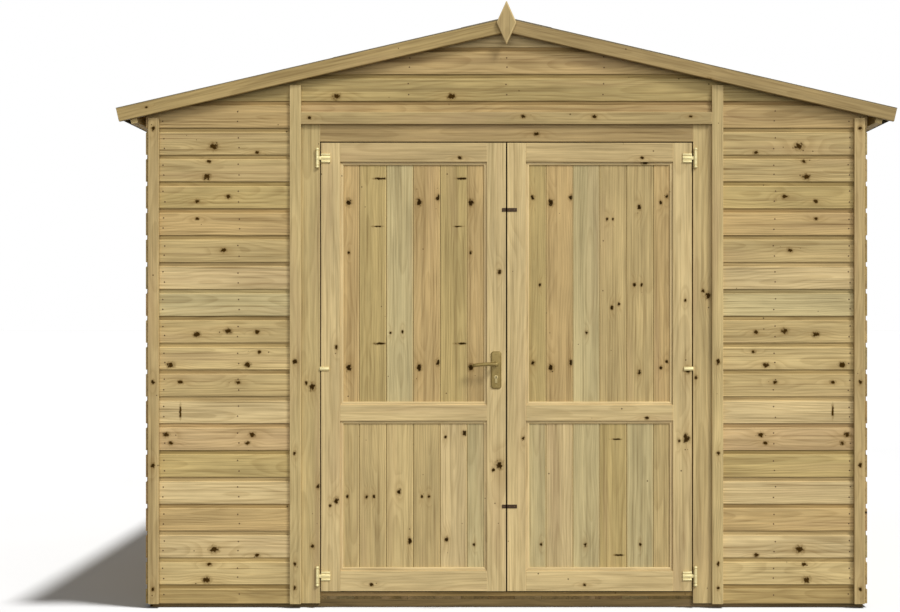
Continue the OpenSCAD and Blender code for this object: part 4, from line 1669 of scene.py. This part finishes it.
def handle_plate(low, high, front):
    """A long plate with cut corners, a raised field and eased edges."""
    back_y, face_y = (high.y, low.y) if front else (low.y, high.y)
    way = -1 if front else 1
    middle_y = back_y + (face_y - back_y) * 0.45
    plate = block("plate", (low.x, min(back_y, middle_y), low.z), (high.x, max(back_y, middle_y), high.z))
    cut = (high.x - low.x) / 5
    edit(plate)
    pick(plate, "EDGE", lambda e: abs(edge_way(e).y) > 0.9)
    bpy.ops.mesh.bevel(offset=cut, segments=6, profile=0.32)
    pick(plate, "FACE", lambda f: f.normal.y * way > 0.9)
    bpy.ops.mesh.inset(thickness=0.0022)
    bpy.ops.transform.translate(value=(0, (face_y - middle_y) * 0.55, 0))
    bpy.ops.mesh.inset(thickness=0.003)
    bpy.ops.transform.translate(value=(0, (face_y - middle_y) * 0.45, 0))
    leave_edit()
    return ease(plate, 0.0006, 2)


LEVER_RADIUS = 0.0082  # of the thickest bar, which the radii along the path are shares of


def lever_bar(name, spindle, face, outer, tip_x, way):
    """A lever: a round neck out of the plate, and a bar that droops a little and turns in at its end."""
    reach = abs(outer - face) - 0.0078
    neck = turned("neck", (0, 0, 0), [
        (0.0, 0.0098), (0.004, 0.0098), (0.0085, 0.0096), (0.0105, 0.0078),
        (reach - 0.006, 0.0074), (reach, 0.0084), (reach + 0.004, 0.0072), (reach + 0.0062, 0.0036),
    ], 32)
    aim(neck, (spindle.x, face, spindle.z), (0, way, 0))
    bpy.ops.object.select_all(action="DESELECT")
    bpy.ops.curve.primitive_bezier_curve_add(location=(0, 0, 0))
    bar = bpy.context.active_object
    spline = bar.data.splines[0]
    run = spindle.x - tip_x - 0.0073
    path = [
        # share of the way to the tip, rise, return towards the door, radius
        (0.0, 0.0, 0.0, 0.0074), (0.14, 0.0005, 0.0, 0.0078), (0.4, 0.0004, 0.0, 0.0074),
        (0.7, -0.0014, 0.0, 0.0072), (0.88, -0.0034, 0.0006, 0.0072), (0.98, -0.0045, 0.0058, 0.007),
        (1.0, -0.005, 0.0135, 0.0064), (1.0, -0.005, 0.017, 0.0044),
    ]
    spline.bezier_points.add(len(path) - len(spline.bezier_points))
    y = face + way * reach
    for point, (share, rise, turn_in, radius) in zip(spline.bezier_points, path):
        point.handle_left_type = point.handle_right_type = "AUTO"
        point.co = (spindle.x - share * run, y - way * turn_in, spindle.z + rise)
        point.radius = radius / LEVER_RADIUS
    bar.data.dimensions = "3D"
    bar.data.bevel_depth = LEVER_RADIUS
    bar.data.bevel_resolution = 6
    bar.data.resolution_u = 10
    bar.data.use_fill_caps = True
    select_only(bar)
    bpy.ops.object.convert(target="MESH")
    bar = bpy.context.active_object
    named(bar, name)
    settle(bar)
    lever = join(name, [bar, neck])
    lever.data.materials.clear()
    turn_out(lever)
    return soften(lever, 45)


WIDE_PLATE = 0.03


class SHED_OT_catch_plates(bpy.types.Operator):
    """Fits the dark catch plates at the meeting edges."""

    bl_idname = "shed.catch_plates"
    bl_label = "Catch plates"
    bl_options = {"REGISTER", "UNDO"}

    def execute(self, context):
        for side in ("left", "right"):
            node = f"{side}_catch_plates"
            plate = from_frame(node, f"{side}_catch_irons", 0.0007)
            coat(plate, dark_iron())
            place_piece(plate, f"{side}_door", "dark_metal", node)
            places = []
            for low, high in timbers_of_node(node):
                # A wide plate has two screws and a narrow one has one
                count = 2 if high.x - low.x > WIDE_PLATE else 1
                for i in range(count):
                    x = low.x + (high.x - low.x) * (i + 0.5) / count
                    places.append((Vector((x, low.y + 0.0003, (low.z + high.z) / 2)), Vector((0, -1, 0))))
            drive(f"{side}_catch_screws", screw_head("catch_screw", 0.0022), places, f"{side}_door")
        return {"FINISHED"}


# Stage -----------------------------------------------------------------------------------

FLOOR_WHITE = 0.66  # with the ground light on it, this shows as white


class SHED_OT_stage(bpy.types.Operator):
    """Sets the floor, the sky, the lights and the camera."""

    bl_idname = "shed.stage"
    bl_label = "Stage"
    bl_options = {"REGISTER", "UNDO"}

    def execute(self, context):
        stage = context.scene.shed_stage
        bpy.ops.object.select_all(action="DESELECT")
        bpy.ops.mesh.primitive_plane_add(size=120, location=(0, 0, 0))
        floor = settle(named(context.active_object, "studio_floor"))
        edit(floor)
        bpy.ops.mesh.select_all(action="SELECT")
        bpy.ops.mesh.subdivide(number_cuts=4)
        leave_edit()
        r = Recipe("studio_floor_white")
        place = r.node("ShaderNodeTexCoord").outputs["Object"]
        tone = r.ramp(r.noise(place, (0.7, 0.7, 0.7)), 0.0, 1.0, 0.97, 1.03, smooth=False)
        # The floor looks white, but throws little light back up at the shed
        rays = r.node("ShaderNodeLightPath").outputs
        seen = r.math("ADD", rays["Is Camera Ray"], rays["Is Glossy Ray"])
        seen = r.math("ADD", seen, rays["Is Transmission Ray"], clamp=True)
        glow = stage.floor_glow
        tone = r.math("MULTIPLY", tone, r.math("MULTIPLY_ADD", seen, FLOOR_WHITE - glow, glow))
        tint = r.node("ShaderNodeCombineColor", {0: tone, 1: tone, 2: tone}).outputs[0]
        floor.data.materials.append(r.finish(tint, 0.9, Specular_IOR_Level=0.1))
        self.sky(context, stage)
        self.sun("ground_light", (-0.216, 0.06, -1.0), stage.ground_key, 5, floor, "INCLUDE")
        self.sun("key_light", (-0.5, 0.56, -0.66), stage.key, 14, floor, "EXCLUDE")
        self.sun("fill_light", (-0.12, 0.95, -0.28), stage.fill, 60, floor, "EXCLUDE")
        self.sun("back_light", (0.6, -0.7, -0.4), stage.back, 50, floor, "EXCLUDE")
        self.camera(context, stage)
        context.scene.view_settings.view_transform = "Standard"
        return {"FINISHED"}

    def sky(self, context, stage):
        """Even light for the shed. The camera and reflections see plain white instead."""
        world = bpy.data.worlds.new("studio")
        context.scene.world = world
        world.use_nodes = True
        tree = world.node_tree
        soft = tree.nodes["Background"]
        white = tree.nodes.new("ShaderNodeBackground")
        for light, strength in ((soft, stage.sky), (white, 1.0)):
            light.inputs["Color"].default_value = (1.0, 1.0, 1.0, 1.0)
            light.inputs["Strength"].default_value = strength
        rays = tree.nodes.new("ShaderNodeLightPath")
        seen = rays.outputs["Is Camera Ray"]
        for ray in ("Is Glossy Ray", "Is Transmission Ray"):
            either = tree.nodes.new("ShaderNodeMath")
            either.operation = "ADD"
            either.use_clamp = True
            tree.links.new(seen, either.inputs[0])
            tree.links.new(rays.outputs[ray], either.inputs[1])
            seen = either.outputs[0]
        mix = tree.nodes.new("ShaderNodeMixShader")
        tree.links.new(seen, mix.inputs[0])
        tree.links.new(soft.outputs[0], mix.inputs[1])
        tree.links.new(white.outputs[0], mix.inputs[2])
        tree.links.new(mix.outputs[0], tree.nodes["World Output"].inputs["Surface"])

    def sun(self, name, way, strength, softness, floor, state):
        """A distant lamp that lights only the floor (INCLUDE) or everything but the floor (EXCLUDE)."""
        bpy.ops.object.light_add(type="SUN", location=(0, 0, 6))
        lamp = bpy.context.active_object
        lamp.name = lamp.data.name = name
        lamp.rotation_euler = Vector(way).to_track_quat("-Z", "Y").to_euler()
        lamp.data.energy = strength
        lamp.data.angle = math.radians(softness)
        reached = bpy.data.collections.new(f"{name}_reach")
        reached.objects.link(floor)
        reached.collection_objects[0].light_linking.link_state = state
        lamp.light_linking.receiver_collection = reached

    def camera(self, context, stage):
        """Looks straight at the front wall, level, from the eye's height."""
        place = (0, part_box("front_wall_left")[0].y - stage.distance, stage.eye)
        bpy.ops.object.camera_add(location=place, rotation=(math.pi / 2, 0, 0))
        camera = bpy.context.active_object
        camera.name = camera.data.name = "camera"
        camera.data.sensor_width = 36.0
        camera.data.lens = 36.0 * stage.distance / stage.view_width
        camera.data.shift_x = stage.shift_x
        camera.data.clip_end = 200.0
        context.scene.camera = camera


STEPS = (
    SHED_OT_stage,
    SHED_OT_front_cladding,
    SHED_OT_back_cladding,
    SHED_OT_side_cladding,
    SHED_OT_nails,
    SHED_OT_trims,
    SHED_OT_surround,
    SHED_OT_wall_frames,
    SHED_OT_floor,
    SHED_OT_roof_boards,
    SHED_OT_roof_timbers,
    SHED_OT_barge_boards,
    SHED_OT_felt,
    SHED_OT_doors,
    SHED_OT_hinges,
    SHED_OT_handle,
    SHED_OT_catch_plates,
)


class SHED_PT_panel(bpy.types.Panel):
    """Lists the shed's building steps and its settings."""

    bl_idname = "SHED_PT_panel"
    bl_label = "Apex Garden Shed"
    bl_space_type = "VIEW_3D"
    bl_region_type = "UI"
    bl_category = "Shed"

    def draw(self, context):
        for step in STEPS:
            self.layout.operator(step.bl_idname)
        for name, group in SETTINGS.items():
            box = self.layout.box()
            for key in group.__annotations__:
                box.prop(getattr(context.scene, name), key)


def register():
    for name, group in SETTINGS.items():
        bpy.utils.register_class(group)
        setattr(bpy.types.Scene, name, PointerProperty(type=group))
    for step in STEPS:
        bpy.utils.register_class(step)
    bpy.utils.register_class(SHED_PT_panel)


def unregister():
    bpy.utils.unregister_class(SHED_PT_panel)
    for step in reversed(STEPS):
        bpy.utils.unregister_class(step)
    for name, group in SETTINGS.items():
        delattr(bpy.types.Scene, name)
        bpy.utils.unregister_class(group)


def main():
    register()
    for step in STEPS:
        area, call = step.bl_idname.split(".")
        if getattr(getattr(bpy.ops, area), call)() != {"FINISHED"}:
            raise RuntimeError(f"{step.bl_label} didn't finish")


if __name__ == "__main__":
    main()
